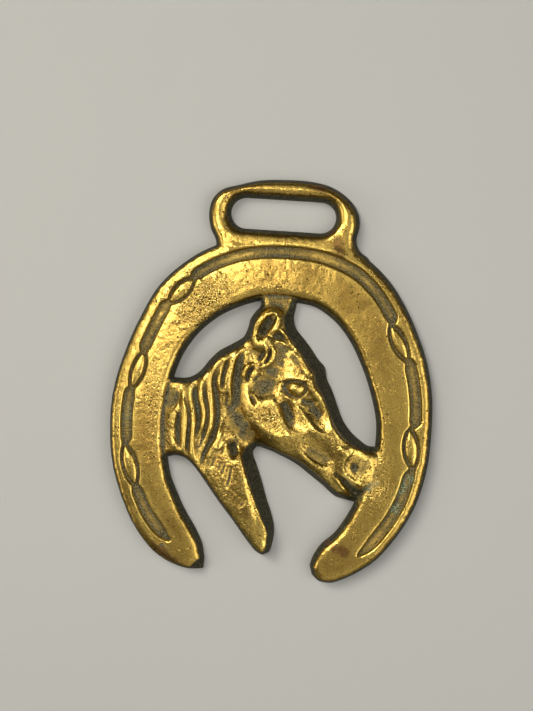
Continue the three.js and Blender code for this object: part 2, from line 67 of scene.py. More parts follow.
def make_camera():
    """A camera that stands CAMERA_DISTANCE from its aim, tilted off the vertical to the right and towards
    the strap loop, and turned about its own line of sight."""
    data = bpy.data.cameras.new("camera")
    data.lens, data.sensor_width, data.clip_start = LENS, SENSOR, NEAREST * MM
    camera = add_object("camera", data)
    back = Vector((math.sin(CAMERA_TO_RIGHT) * math.cos(CAMERA_TO_LOOP), math.sin(CAMERA_TO_LOOP),
                   math.cos(CAMERA_TO_RIGHT) * math.cos(CAMERA_TO_LOOP)))
    up = Vector((0, 1, 0))
    up = (up - back * up.dot(back)).normalized()
    right = up.cross(back)
    turned = right * math.cos(CAMERA_TURN) + up * math.sin(CAMERA_TURN)
    axes = Matrix((turned, back.cross(turned), back)).transposed()
    place = Vector(CAMERA_AIM) * MM + back * CAMERA_DISTANCE * MM
    camera.matrix_world = Matrix.Translation(place) @ axes.to_4x4()
    bpy.context.scene.camera = camera


# ---- The drawing, in millimetres ----

SHOE_OUTER = [
    (-12.9, 1), (-15.9, 0.7), (-18.5, 1.1), (-21.3, 2.1), (-24.7, 4.2), (-27.5, 7.1), (-30.1, 10.7),
    (-32.4, 15.3), (-34.2, 19.8), (-35.6, 25), (-36.3, 31), (-36.4, 37), (-35.7, 42.5), (-34, 49),
    (-31.3, 56.4), (-27, 64.7), (-20.6, 71), (-14.7, 74.5), (-8, 76.8), (0.5, 77.7), (9, 77.2),
    (15.5, 75.3), (20, 73), (24.7, 68.8), (28.5, 63.6), (31.6, 57.8), (34.3, 51.2), (36, 43.5),
    (36.4, 36), (36.1, 28), (34.5, 20.3), (32.6, 15.6), (29.8, 10.8), (26.1, 6), (22.9, 3.4),
    (19.5, 1.3), (16.1, 0), (13.4, 0.3), (11.8, 1.6),
]
SHOE_INNER = [
    (11.2, 3.6), (11.8, 5.8), (13.4, 8.6), (16.1, 11.3), (18.5, 15), (21.2, 21), (23.2, 27), (24, 32),
    (23.9, 37), (22.9, 41.2), (21.2, 46.2), (19.1, 50.8), (17, 54.5), (14.5, 57.7), (11.9, 60),
    (8.4, 62), (4, 62.7), (0, 63), (-4, 62.6), (-8.5, 61), (-12.9, 58.6), (-17.2, 54.7), (-20.3, 50.1),
    (-22.2, 45), (-23.2, 39), (-23.4, 33), (-23, 27.5), (-21.7, 21.6), (-20.1, 18.1), (-18, 14.1),
    (-15.4, 10.2), (-13.6, 6.8), (-12.8, 3.4),
]
LOOP_OUTLINE = [
    (-14.6, 73), (-14.9, 75.4), (-16.3, 78.2), (-16.9, 81.3), (-16.4, 84.5), (-14.4, 86.9),
    (-10.4, 88.3), (-5.9, 89.5), (0, 90), (6, 89.9), (10.5, 88.9), (14.5, 86.4), (16.5, 83.7),
    (17.1, 80.8), (16.6, 77.4), (17.4, 75.3), (19.8, 73.2), (19, 70), (13, 68.5), (0, 68), (-11, 68.8),
]
SLOT = {"centre": (-0.1, 82.0), "half_length": 11.8, "radius": 3.45}

# Outline of the head and neck. The third number is how far the rough side wall slopes in there, and the
# fourth how wide the rolled edge above the wall is.
HEAD_OUTLINE = [
    (-26, 43.4, 1, 1), (-21.5, 43.9, 1.2, 1.2), (-18.8, 44.3, 1.4, 1.4), (-16.6, 45.8, 1.5, 1.6),
    (-14.5, 48.6, 1.6, 1.6), (-12.4, 50.8, 1.6, 1.4), (-9.5, 52.6, 1.7, 1.2), (-7.2, 54.3, 1.7, 1),
    (-6.4, 56.2, 1.6, 0.8), (-6, 58.2, 1.5, 0.7), (-5, 60, 1.4, 0.7), (-3.9, 61.5, 1.2, 0.8),
    (-3.6, 66, 1, 0.8), (4.2, 66, 1, 0.8), (4.1, 61.7, 1.6, 0.8), (3.8, 59.2, 2.2, 0.8),
    (4.4, 57, 2.4, 0.8), (6.2, 54.9, 2.4, 0.8), (8, 52.8, 2.5, 1), (9.9, 50.3, 2.6, 1.2),
    (11.5, 48.6, 2.7, 1.2), (12.1, 46.2, 2.6, 1.2), (13.5, 43.5, 2.4, 1.3), (15, 40, 2.2, 1.4),
    (16.4, 37, 2.1, 1.5), (18.2, 34.7, 2, 1.7), (20.5, 32.8, 1.6, 2), (22.3, 31.7, 1.2, 2),
    (26.5, 31, 1, 1), (26.5, 18.5, 1, 1), (20.5, 18.8, 1.2, 1.6), (18, 19.2, 1.5, 2.2),
    (15.6, 19.9, 1.7, 2.4), (12.9, 22, 1.7, 2.6), (9.6, 24.3, 1.7, 2.8), (6.5, 26.4, 1.6, 2.9),
    (3, 28, 1.3, 3.2), (0, 29.1, 1.3, 3), (-2.6, 29.6, 1.6, 2), (-3.4, 28.4, 2.2, 0.5),
    (-2.4, 25.6, 2.5, 0.5), (-1, 22, 2.6, 0.5), (0.4, 18, 2.4, 0.6), (1.8, 14.4, 2.2, 0.8),
    (2.6, 11.2, 1.6, 1.2), (2.4, 8, 1.4, 1.5), (1.7, 5.8, 1.3, 1.6), (0.4, 5.1, 1.3, 1.6),
    (-1.2, 5.8, 1.3, 1.8), (-3.5, 8.2, 1.3, 2), (-7, 12.5, 1.3, 2), (-10.6, 16.7, 1.3, 2.2),
    (-14, 21, 1.3, 2.2), (-16.5, 24, 1.3, 2), (-18.3, 25.6, 1.1, 1.8), (-20.4, 26.3, 1.2, 1.4),
    (-26, 25.8, 1, 1),
]

# Groove beside the outer edge. The pinch is its half width at the tips of a nail mark, the ring what stays
# open beside the mark, the lip how far its rim is rounded off, the wall how far its side slopes in, and the
# taper how soon its ends thin out. It ends at two shares of the way round.
GROOVE = {"half_width": 1.45, "pinch": 0.95, "ring": 0.7, "depth": 0.95, "lip": 0.1, "wall": 0.5,
          "taper": 6.0, "ends": (0.047, 0.94)}
OUTER_LENGTH = 221  # length of the shoe's outer edge
# Distance of the groove's middle from the outer edge, at shares of the way round the shoe.
GROOVE_INSET = ((0.047, 5.0), (0.1, 4.55), (0.2, 4.25), (0.5, 3.95), (0.94, 3.7))
# Rounded bead along the shoe's outer edge.
BEAD = {"height": 0.24, "inset": 1.75, "half_width": 0.75}
# Unevenness of the cast and filed face: height either way, size and seed of each layer.
FACE_WAVES = ((0.07, 7.0, 1), (0.03, 2.6, 2))
NAIL_PROUD = 0.05  # how far a nail mark stands above the face
NAIL_REACH = 6  # the groove follows a mark only this close to it
# In half lengths from a mark's middle: where the groove turns to follow it, and where it is wide again.
NAIL_LEAD, NAIL_CLEAR = (1.3, 0.9), 1.5
# Powers that shape a mark: how pointed it is in plan, how flat its crown is, how blunt its ends fall.
GRAIN_POINT, GRAIN_CROWN, GRAIN_ENDS = 0.8, 0.3, 0.25
# Raised nail marks: two tips and a width.
NAIL_MARKS = [
    ((-19.2, 66.4), (-24.1, 60.9), 2.7),
    ((-29.2, 49.1), (-31.4, 41.3), 2.5),
    ((-32.2, 27.9), (-29.3, 19.4), 2.9),
    ((25.6, 58.9), (29.7, 51.7), 2.6),
    ((31.4, 36.1), (32.7, 27.8), 2.9),
]

# Spot heights of the head's modelled surface: x, y, height. Between them it is blended.
SPOT_REACH = 1.6  # how far a spot counts
SPOTS = [
    # mane, falling to the left arm of the shoe
    (-25, 43, 2.6), (-25, 35, 2.7), (-25, 28, 2.7), (-22.4, 40, 2.5), (-22.8, 31, 2.7), (-22, 44, 2.7),
    (-21, 35, 4), (-20.4, 30, 4.1), (-18.5, 42.5, 3.8), (-18, 38, 4.2), (-18, 34, 4.3), (-18, 28, 4.2),
    (-14.5, 45, 4.2), (-14.5, 41, 4.4), (-14.5, 37, 4.4), (-15, 33, 4.6), (-15.5, 29, 4.8),
    (-11.5, 48, 4.5), (-11.8, 44, 4.5), (-11.3, 40, 4.3), (-10.8, 36.6, 4.2), (-8.8, 50, 4.6),
    (-9, 46, 4.6), (-9.2, 42, 4.4), (-9.3, 38.6, 4), (-7.5, 47, 4.1), (-7.6, 43, 3.8),
    # throat
    (-8, 39.4, 3.5), (-6.4, 36, 3.2), (-8.4, 35, 3.5), (-4.6, 32.6, 3), (-6.4, 32, 3.4),
    (-2.6, 30.4, 2.6),
    # neck
    (-12.2, 34.5, 4.9), (-10.6, 32.6, 5), (-15.4, 26, 4.9), (-12.4, 28, 5.2), (-9.4, 28.4, 5.2),
    (-12.2, 23.6, 5.3), (-8.4, 23.4, 5.4), (-6.2, 26.4, 5.4), (-5, 21, 5.4), (-8.6, 18.6, 5.3),
    (-4.4, 17, 5.3), (-5.3, 13.4, 5.1), (-2.3, 13, 5.1), (-1.4, 9.6, 4.8), (0.5, 8, 4.5),
    (-8.2, 31, 4.9),
    # cheek
    (-5.2, 41.2, 5.9), (-4.4, 38.4, 6.2), (-1.6, 40.2, 6.1), (-2.3, 37, 6), (0, 38, 6), (1.2, 41, 6.2),
    (1.4, 35.6, 5.9), (-0.4, 34.2, 6.3), (3.2, 33.2, 6.4), (7.4, 33.4, 6.3), (-3.4, 43.6, 5.2),
    (-1.7, 43, 4.9), (0.6, 43.4, 5), (3, 36, 5.8),
    # jaw, under the cheek
    (-4.4, 35, 5.9), (-1.2, 31.4, 5.8), (3, 30, 6), (6.6, 30.6, 6.1), (6.8, 28.4, 5.9), (10.4, 26, 5.9),
    (13.4, 24.2, 5.8), (16.2, 22, 5.6), (17.8, 21, 5.2),
    # ear and poll
    (-3.4, 55.4, 4.9), (-1.4, 58.8, 5), (0.6, 58, 5.1), (-3, 53, 5.4), (-1.4, 51.6, 5.6),
    (-1.6, 49, 5.1), (-4.2, 50.4, 4.4), (-5.4, 47.4, 5), (-4, 46, 5), (-5.2, 43.8, 4.8),
    (0.4, 62.4, 2.7), (0.4, 65, 2.4), (2.8, 59.6, 2.8), (3.2, 62, 2.6), (-4, 62, 2.6), (-5.6, 55, 3.6),
    (-6, 52.4, 4.2),
    # forehead, brow and eye
    (1.4, 55, 4.6), (3.4, 54, 5.2), (1.6, 51, 5), (2, 48.6, 5.2), (0, 47, 4.9), (1.6, 45.4, 4.8),
    (4.4, 50.8, 5.4), (4.6, 48, 5.8), (6.6, 50.2, 5.4), (7.2, 48, 5.8), (8.8, 45, 6), (5.4, 44.6, 5.4),
    (2.4, 43.4, 5.4), (4, 41.4, 5.8), (7, 41.2, 5.7),
    # below the eye and the bridge of the nose
    (4.6, 38, 4.8), (6.6, 37.4, 5.5), (9.2, 39.8, 4.9), (8.3, 37.2, 5.8), (11.4, 38.2, 5.1),
    (11, 42.2, 5.6), (13.2, 38.6, 5.6), (11.4, 34.6, 6.4), (14, 33.8, 6.5), (15.6, 31, 6.5),
    (16.8, 34, 5.9), (19, 31.6, 5.7),
    # muzzle
    (10, 31.8, 5.8), (12.6, 30.2, 5.3), (10.4, 29.2, 5.15), (14.6, 28.4, 5.2), (16.6, 29.4, 6.2),
    (16.4, 26.8, 5.4), (19.8, 27.4, 5.7), (21.6, 29.4, 4.65), (22, 26.4, 4.4), (20, 24.2, 5.3),
    (17, 24.4, 4.8), (21.4, 22.8, 4.2), (20.6, 20, 1.8), (20.2, 18.4, 1.8), (24.6, 28, 3.6),
    (24.4, 24, 3.4), (23, 20.8, 2.4), (25, 31, 2.8), (25.6, 20, 2.8), (26, 26, 3),
]
DOME_FALL = 1.2  # 1 makes a dome a paraboloid, and more is softer at the foot
# Rounded swellings and hollows: centre, half sizes, turn in degrees, rise.
DOMES = [
    ((5.5, 43.7), (2.4, 2.0), 0, 1.1),  # eyeball
    ((19.9, 27.0), (2.6, 3.1), 0, -0.5),  # dish round the nostril
    ((19.8, 26.9), (1.1, 1.4), 10, -0.6),  # nostril
    ((-1.7, 43.2), (3.6, 2.9), 10, -0.8),  # hollow behind the eye
    ((-2.4, 53.2), (2.7, 2.2), 10, 0.9),  # root of the ear
]
STROKE_END, STROKE_SWELL = 0.35, 5  # share of the rise at a stroke's ends, and how fast it gains the rest
WIDE = 1.0  # a stroke's side wider than this falls as a bell of the first power, any other of the second
WIDE_FALL, NARROW_FALL = 1.7, 2.6
# Strands and creases: rise (a crease is negative), width on the right and on the left of the way along
# the line, then points along it.
STROKES = [
    # mane, each lock from the poll down: a long slope up to the crest, and a short one behind it
    (0.83, 1.6, 0.5, (-20.9, 37), (-21.5, 34), (-21.4, 30.8), (-20.3, 28.2)),
    (0.83, 1.4, 0.5, (-19.9, 41), (-18.9, 37.8), (-18.5, 34.9), (-18.7, 31), (-18.7, 27.3)),
    (0.9, 1.3, 0.6, (-17.2, 44.2), (-18, 40.8), (-17.3, 37.6), (-16.8, 34.2), (-16.9, 30.5),
     (-16.3, 27), (-15.8, 24.6)),
    (0.83, 1.3, 0.5, (-14.7, 45.8), (-15.6, 42.6), (-15.3, 40), (-14.5, 37), (-14.7, 34.4),
     (-15.6, 31.6)),
    (0.98, 1.5, 0.7, (-11.5, 49.2), (-13, 46.8), (-13.7, 43.9), (-13.3, 40.2), (-12.8, 36.6),
     (-12.9, 33.4), (-13.8, 31)),
    (0.83, 1.3, 0.5, (-9.8, 50.1), (-11.2, 48), (-11.7, 45), (-11.7, 42)),
    (0.98, 1.6, 0.8, (-7.4, 51.6), (-8.8, 49.2), (-9.4, 46.4), (-9.6, 43.6), (-9.4, 40.4)),
    (0.3, 0.4, 0.4, (-6.1, 50.6), (-6.2, 48.4)),
    # creases between the locks, with a soft far side
    (-0.56, 0.4, 0.45, (-20.4, 36.8), (-20.3, 32.1), (-19.8, 28.6)),
    (-0.63, 0.4, 0.45, (-19.3, 40.4), (-18.1, 36.6), (-17.9, 31.6), (-17.9, 27.4)),
    (-0.7, 0.45, 0.6, (-17.2, 43), (-17, 40.2), (-16.1, 37.4), (-15.8, 34.6), (-16, 31.6)),
    (-0.63, 0.4, 0.45, (-15.1, 43.6), (-14.6, 40.3), (-13.9, 37.6), (-13.8, 35), (-14.3, 32.2),
     (-15, 29.2)),
    (-0.7, 0.5, 0.7, (-11.7, 48.3), (-12.9, 44.6), (-12.4, 41.6), (-11.8, 38.2), (-11.7, 35),
     (-12.9, 30.6), (-14.2, 27.2), (-14.8, 23.8)),
    (-0.63, 0.4, 0.45, (-10, 48.9), (-10.9, 45.4), (-11, 42.4)),
    (-0.56, 0.35, 0.35, (-9.7, 41.6), (-9.9, 38.4)),
    (-0.63, 0.7, 0.8, (-7.2, 50.4), (-7.7, 46.9), (-7.7, 42.6), (-8.1, 39), (-9.3, 37)),
    # neck
    (0.8, 0.5, 0.9, (-10.7, 34.2), (-11.3, 30.9), (-12.5, 28.8), (-13.6, 26.4)),
    (0.4, 0.35, 0.35, (-9.6, 31.2), (-10.4, 29.4), (-11.3, 29)),
    (-2.2, 0.8, 0.8, (-8.2, 30.4), (-7.6, 29.2), (-7.1, 27.6)),
    (0.35, 1.6, 0.8, (-7, 30), (-6.1, 26.8), (-5.2, 23), (-4, 19.1), (-2.9, 15.8), (-2.1, 13.2)),
    (-0.35, 0.25, 0.3, (-11.5, 27), (-12.3, 24.8)),
    (-0.35, 0.25, 0.3, (-10.3, 25.8), (-10.6, 24)),
    (-0.4, 0.25, 0.3, (-9.2, 25.7), (-9.8, 23.2)),
    (-0.4, 0.3, 0.4, (-7.8, 24.8), (-8, 22.6), (-8.5, 20.6)),
    (-0.35, 0.25, 0.3, (-9.6, 29.7), (-10.1, 27.8)),
    (-0.35, 0.35, 0.3, (-4, 18.2), (-5.2, 16.2)),
    # ear
    (1, 0.9, 0.9, (-4.4, 52.6), (-4.5, 55.6), (-3.9, 57.9), (-2.9, 59.3), (-1.6, 60.2), (-0.1, 60.5),
     (0.9, 59.9)),
    (1, 0.9, 0.9, (0.9, 59.9), (0.7, 58.4), (0.1, 56.8), (-1, 54.8)),
    (-1.5, 0.95, 0.95, (-3, 55.2), (-2, 57.4), (-0.9, 59)),
    # poll and forelock
    (0.8, 0.5, 0.5, (1.3, 56.2), (2.6, 55), (3.5, 54), (3.9, 53)),
    (0.5, 0.45, 0.45, (0.3, 53.7), (1.4, 53.9), (2.6, 53.3), (3.6, 52.8)),
    (-0.9, 0.8, 0.8, (-0.4, 55.1), (1, 55.1), (2.4, 54.5)),
    (0.7, 0.8, 0.5, (-0.2, 52.8), (0.2, 51.6), (0.1, 50.2), (-0.8, 48.7), (-2.4, 47.7)),
    (0.7, 0.45, 0.4, (-1.4, 52.4), (-1.3, 50.8), (-2, 49.4), (-3, 48.6)),
    (-0.9, 0.35, 0.35, (-0.8, 52), (-0.9, 50.4), (-1.7, 48.9)),
    (-0.8, 0.35, 0.35, (-2.3, 51.6), (-2.6, 50.4), (-3.2, 49.6)),
    (0.9, 0.5, 0.6, (-4.7, 48.3), (-5.6, 47.8), (-6.3, 46.6), (-6.6, 44.9)),
    (-0.9, 0.4, 0.4, (-4.3, 47.8), (-5.1, 46.6), (-5.6, 44.4)),
    (-0.5, 0.35, 0.35, (-4.2, 44.6), (-2.6, 46.1)),
    # brow and eye
    (0.45, 0.5, 0.6, (4.6, 52.6), (6, 51.6), (7.1, 50.2), (7.8, 48.6)),
    (0.6, 0.25, 1.6, (2.6, 45.2), (3.6, 45.65), (5.4, 45.8), (7.2, 45.6), (8.2, 46.4)),
    (-0.6, 0.22, 0.22, (2.4, 43), (3.2, 44.6), (4.6, 45.3), (6.2, 45.3), (7.5, 44.8), (7.9, 43.6),
     (7.2, 42.3)),
    (-0.45, 0.2, 0.2, (7.2, 42.3), (5.9, 41.7), (4.4, 42), (3.2, 42.7)),
    (-0.6, 0.7, 0.7, (3, 43.8), (3.9, 42.8), (5.2, 42.1)),
    (0.6, 0.8, 0.8, (8.1, 46.4), (8.7, 44.8), (9.6, 43)),
    (0.35, 1.2, 0.9, (9.6, 43.4), (11.2, 41), (12.9, 38.6), (14.4, 36.2), (16.4, 33.4)),
    (-0.7, 0.6, 0.6, (7, 41.2), (8.2, 40.7), (9.8, 40.9)),
    # cheek and jaw
    (-0.7, 0.4, 0.4, (-4.3, 41.4), (-3.2, 39.7)),
    (0.25, 1.2, 1.2, (-5.2, 40), (-4.9, 38.2), (-3.3, 36.1), (-1.4, 34.4), (0.7, 33.3), (3, 32.9),
     (5.6, 33.3), (8.2, 33.7)),
    (0.35, 1.6, 0.5, (0.4, 41.2), (1.6, 38.8), (3, 36.6), (4.4, 34.6)),
    (-1.3, 0.9, 1.1, (2.8, 40.6), (3.9, 38.6), (4.8, 36.4)),
    (0.5, 1.5, 0.6, (5.6, 40.2), (7.5, 38.2), (9.2, 36.3), (10.8, 34.6), (12.8, 33.8)),
    (-0.75, 0.95, 0.95, (8.8, 39.8), (10.4, 38.8), (11.6, 37.8)),
    # muzzle
    (-0.22, 1.1, 1.1, (8.4, 30.9), (10.9, 29.6), (14.4, 28.5)),
    (0.5, 1, 0.6, (7.4, 30), (9, 28.4), (11.2, 27), (12.9, 26.6), (14.2, 27.4)),
    (0.4, 0.9, 0.9, (16.4, 31.6), (17, 30.6), (18.2, 31)),
    (0.4, 1.2, 0.25, (18.8, 30.2), (17.6, 28.9), (17.2, 27.2), (17.7, 25.6)),
    (-1.2, 0.3, 0.3, (15.4, 25.5), (16.4, 24.8), (17.4, 24.1)),
    (-2.2, 0.6, 0.5, (17.2, 24.2), (18.6, 22.8), (19.8, 21.8)),
    (-3, 1, 1.1, (19.2, 21.6), (20.6, 20.8), (22.6, 20.4)),
    (0.3, 0.6, 0.4, (17.8, 25.5), (19.8, 24), (21.8, 22.6)),
    (0.4, 0.6, 0.6, (15.2, 25.1), (16.9, 23.4), (18.8, 21.2)),
]

# ---- Lines and distances, as whole arrays ----


def smooth_line(points, closed=False, step=0.5):
    """A centripetal Catmull-Rom line: between two points it is the blend of the three straight runs
    around them, with knots spaced by the square root of each run's length. Every run gets as many
    samples as its length holds steps."""
    p = np.array(points, float)
    if closed:
        p = np.vstack([p[-1:], p, p[:2]])
    else:
        p = np.vstack([2 * p[0] - p[1], p, 2 * p[-1] - p[-2]])
    knots = np.concatenate([[0], np.cumsum(np.linalg.norm(np.diff(p[:, :2], axis=0), axis=1) ** 0.5)])
    runs = []
    for i in range(1, len(p) - 2):
        count = max(2, round(np.linalg.norm(p[i + 1, :2] - p[i, :2]) / step))
        t = np.linspace(knots[i], knots[i + 1], count, endpoint=False)[:, None]
        k, q = knots[i - 1:i + 3], p[i - 1:i + 3]

        def mix(a, b, first, last):
            return (a * (k[last] - t) + b * (t - k[first])) / (k[last] - k[first])

        low, mid, high = mix(q[0], q[1], 0, 1), mix(q[1], q[2], 1, 2), mix(q[2], q[3], 2, 3)
        runs.append(mix(mix(low, mid, 0, 2), mix(mid, high, 1, 3), 1, 2))
    line = np.vstack(runs)
    return line if closed else np.vstack([line, p[-2]])


def nearest(x, y, line, sided=False):
    """Distance from each point to a line of straight runs, and the place on the line as run number
    plus share of the run. A sided distance is positive on the left of the way along the line."""
    a, b = line[:-1, :2], line[1:, :2]
    run = b - a
    length2 = np.maximum((run ** 2).sum(1), 1e-12)
    best, place, side = np.full(x.shape, np.inf), np.zeros(x.shape), np.ones(x.shape)
    for i in range(len(a)):
        t = np.clip(((x - a[i, 0]) * run[i, 0] + (y - a[i, 1]) * run[i, 1]) / length2[i], 0, 1)
        d = np.hypot(x - a[i, 0] - t * run[i, 0], y - a[i, 1] - t * run[i, 1])
        closer = d < best
        best = np.where(closer, d, best)
        place = np.where(closer, i + t, place)
        if sided:
            side = np.where(closer, run[i, 0] * (y - a[i, 1]) - run[i, 1] * (x - a[i, 0]), side)
    return (np.copysign(best, side) if sided else best), place


def inside(x, y, starts, ends):
    """Whether each point lies inside closed outlines, given by the starts and ends of their edges: a ray
    upwards from it crosses them an odd number of times."""
    px, py = x.ravel(), y.ravel()
    (ax, ay), (bx, by) = starts.T, ends.T
    edge, point = np.nonzero((ax[:, None] > px) != (bx[:, None] > px))
    ax, ay, bx, by = ax[edge], ay[edge], bx[edge], by[edge]
    above = py[point] < ay + (px[point] - ax) * (by - ay) / (bx - ax)
    return (np.bincount(point[above], minlength=px.size) % 2 == 1).reshape(x.shape)


def inside_ring(x, y, ring):
    """Whether each point lies inside one closed outline, given by its points."""
    return inside(x, y, ring[:, :2], np.roll(ring[:, :2], -1, axis=0))


def depth_in(x, y, outline):
    """Distance to a closed outline, positive inside, and the place on it."""
    closed = np.vstack([outline, outline[:1]])
    distance, place = nearest(x, y, closed)
    return np.where(inside_ring(x, y, outline), distance, -distance), place


def along(values, place):
    """A quantity given at each point of a line, read between them."""
    i = np.minimum(place.astype(int), len(values) - 1)
    after = values[np.minimum(i + 1, len(values) - 1)]
    return values[i] + (after - values[i]) * (place - i)


def ease(low, high, value):
    """0 below low, 1 above high, and a smooth S between."""
    t = np.clip((value - low) / (high - low), 0, 1)
    return t * t * (3 - 2 * t)


def soft_max(a, b, radius):
    """The higher of two surfaces, with a fillet where they meet."""
    meet = np.clip(0.5 + (a - b) / (2 * radius), 0, 1)
    return b + (a - b) * meet + radius * meet * (1 - meet)


def soft_min(a, b, radius):
    """The lower of two surfaces, with a round where they meet."""
    return -soft_max(-a, -b, radius)


def blend(grid, i, j, u, v):
    """The mean of a grid cell's four corners, weighted by the place (u, v) in the cell."""
    low = grid[j, i] * (1 - u) + grid[j, i + 1] * u
    return low * (1 - v) + (grid[j + 1, i] * (1 - u) + grid[j + 1, i + 1] * u) * v


# The area that random heights cover, which holds the plan with a margin.
LATTICE_LEFT, LATTICE_FOOT = -45, -10
LATTICE_WIDTH, LATTICE_HEIGHT = 90, 110


def lattice_noise(x, y, size, seed):
    """Random heights from -1 to 1 on a square lattice of the given size, read smoothly between."""
    rows, columns = int(LATTICE_HEIGHT / size) + 2, int(LATTICE_WIDTH / size) + 2
    lattice = np.random.default_rng(seed).uniform(-1, 1, (rows, columns))
    u, v = (x - LATTICE_LEFT) / size, (y - LATTICE_FOOT) / size
    i, j = u.astype(int), v.astype(int)
    return blend(lattice, i, j, ease(0, 1, u - i), ease(0, 1, v - j))


def oval(x, y, centre, half_sizes, turn):
    """Each point in an oval's own measure: (0, 0) at its centre, and length 1 on its edge."""
    c, s = math.cos(math.radians(turn)), math.sin(math.radians(turn))
    dx, dy = x - centre[0], y - centre[1]
    return (dx * c + dy * s) / half_sizes[0], (dy * c - dx * s) / half_sizes[1]


outer_line = smooth_line(SHOE_OUTER)
inner_line = smooth_line(SHOE_INNER)
shoe_outline = np.vstack([outer_line, inner_line])
heels_and_inner_line = np.vstack([outer_line[-1:], inner_line, outer_line[:1]])
loop_outline = smooth_line(LOOP_OUTLINE, closed=True)
head_outline = smooth_line(HEAD_OUTLINE, closed=True)


# ---- The height field ----

# Section of the shoe's and loop's side wall: depth in from the edge, in wall widths, and height.
WALL_DEPTHS = np.array([-1.0, 0.0, 0.12, 0.35, 0.6, 0.8, 1.0, 1.3, 1.7, 2.4])
WALL_HEIGHTS = np.array([-1.0, 0.3, 1.1, 2.0, 2.75, 3.12, 3.32, 3.5, 3.6, 3.62])
WALL_CLIMB = 0.5
# Wall widths. The inner wall is wider at the top of the arch, by a bell centred a little to the left.
INNER_WALL, LOOP_WALL, SLOT_WALL = 1.25, 1.25, 1.5
ARCH_WALL = {"more": 0.6, "x": -1, "reach": 9, "above": 50}
CORNER_POWER = 2.4  # more makes the corners of the heels sharper
# The left heel comes to a corner in plan, but its face ends round, this far from the corner.
HEEL_CORNER = (-12.6, 0.9)
HEEL_CORNER_WALL = 3.5
# Section of the head's side wall, as for the shoe's.
HEAD_WALL_DEPTHS = np.array([-1.0, 0.0, 0.12, 0.85, 1.3, 1.6])
HEAD_WALL_HEIGHTS = np.array([-1.0, 0.3, 0.9, 4.6, 7.5, 9.5])
ROLL_FROM = 0.6  # the rolled edge starts this many wall widths in
ROLL_DEPTH = 0.62  # depth of a rolled edge, as a share of its width
# Radii of the rounds and fillets: wall to face, head wall to relief, and head to plate.
FACE_ROUND, HEAD_ROUND, HEAD_FILLET = 0.12, 0.3, 0.25
# Roughness of the cast skin: height on the walls, height elsewhere, size and seed of each layer.
SKIN = ((0.12, 0.02, 0.8, 3), (0.1, 0, 1.9, 4))
WALL_SKIN = (1.4, 0.5)  # the walls' own skin begins this far in from the edge, and is full this far in


def plate_wall(depth, width):
    """The side wall of the shoe and the loop, read from its section: steep at the back edge, rounding over
    into the face, and then climbing on past the face, so that it cuts nothing off there."""
    beyond = np.maximum(depth / width - WALL_DEPTHS[-1], 0)
    return np.interp(depth / width, WALL_DEPTHS, WALL_HEIGHTS) + beyond * WALL_CLIMB


def slot_depth(x, y):
    """Distance outside the strap slot, a bar with round ends."""
    (cx, cy), radius = SLOT["centre"], SLOT["radius"]
    reach = SLOT["half_length"] - radius
    return np.hypot(np.maximum(np.abs(x - cx) - reach, 0), y - cy) - radius


def nail_coordinates(x, y, mark):
    """Along a nail mark, -1 and 1 at its tips, and across it in millimetres."""
    (x0, y0), (x1, y1), _ = mark
    half = math.hypot(x1 - x0, y1 - y0) / 2
    ux, uy = (x1 - x0) / (2 * half), (y1 - y0) / (2 * half)
    dx, dy = x - (x0 + x1) / 2, y - (y0 + y1) / 2
    return (dx * ux + dy * uy) / half, dx * uy - dy * ux


def groove_and_nails(x, y, edge_depth, share):
    """How deep the groove is cut, and the height of the nail marks standing in it. The groove is a
    band beside the outer edge whose half width falls with the square root of the way left to its end.
    Beside a nail mark, a grain whose half width is a power of the parabola 1 - a squared, it follows the
    mark, pinched at the tips and swelling by the same parabola."""
    g = GROOVE
    to_end = np.minimum(share - g["ends"][0], g["ends"][1] - share) * OUTER_LENGTH
    offset = np.abs(edge_depth - np.interp(share, *zip(*GROOVE_INSET)))
    half = g["half_width"] * np.sqrt(np.clip(to_end / g["taper"], 0, 1))
    marks = np.zeros(x.shape)
    for mark in NAIL_MARKS:
        a, across = nail_coordinates(x, y, mark)
        along_mark, aside = np.abs(a), np.abs(across)
        here = aside < NAIL_REACH
        body = np.clip(1 - a * a, 0, 1)
        swell = g["pinch"] + (mark[2] / 2 + g["ring"] - g["pinch"]) * body
        opening = g["pinch"] + (g["half_width"] - g["pinch"]) * ease(1.0, NAIL_CLEAR, along_mark)
        pinched = np.where(along_mark < 1, swell, opening)
        half = np.where(here & (along_mark < NAIL_CLEAR), pinched, half)
        offset = np.where(here, offset + (aside - offset) * ease(*NAIL_LEAD, along_mark), offset)
        fall = np.clip(1 - (across / np.maximum(mark[2] / 2 * body ** GRAIN_POINT, 1e-3)) ** 2, 0, 1)
        grain = fall ** GRAIN_CROWN * body ** GRAIN_ENDS
        marks = np.maximum(marks, np.where(along_mark < 1, grain, 0))
    cut = g["depth"] * ease(g["lip"], -g["wall"], offset - half) * (to_end > 0)
    return cut, marks * (g["depth"] + NAIL_PROUD)


def shoe_face(x, y, edge_depth, share):
    """The face of the shoe: the thickness, plus a bell-shaped bead, less the groove, plus the marks."""
    bead = BEAD["height"] * np.exp(-((edge_depth - BEAD["inset"]) / BEAD["half_width"]) ** 2)
    cut, marks = groove_and_nails(x, y, edge_depth, share)
    uneven = sum(rise * lattice_noise(x, y, size, seed) for rise, size, seed in FACE_WAVES)
    return FACE + uneven + bead - cut + marks


def spot_surface(x, y):
    """The spot heights' mean, each weighted by a bell of its distance."""
    total, weights = np.zeros(x.shape), np.full(x.shape, 1e-12)
    for sx, sy, height in SPOTS:
        weight = np.exp(-((x - sx) ** 2 + (y - sy) ** 2) / (2 * SPOT_REACH ** 2))
        total += weight * height
        weights += weight
    return total / weights


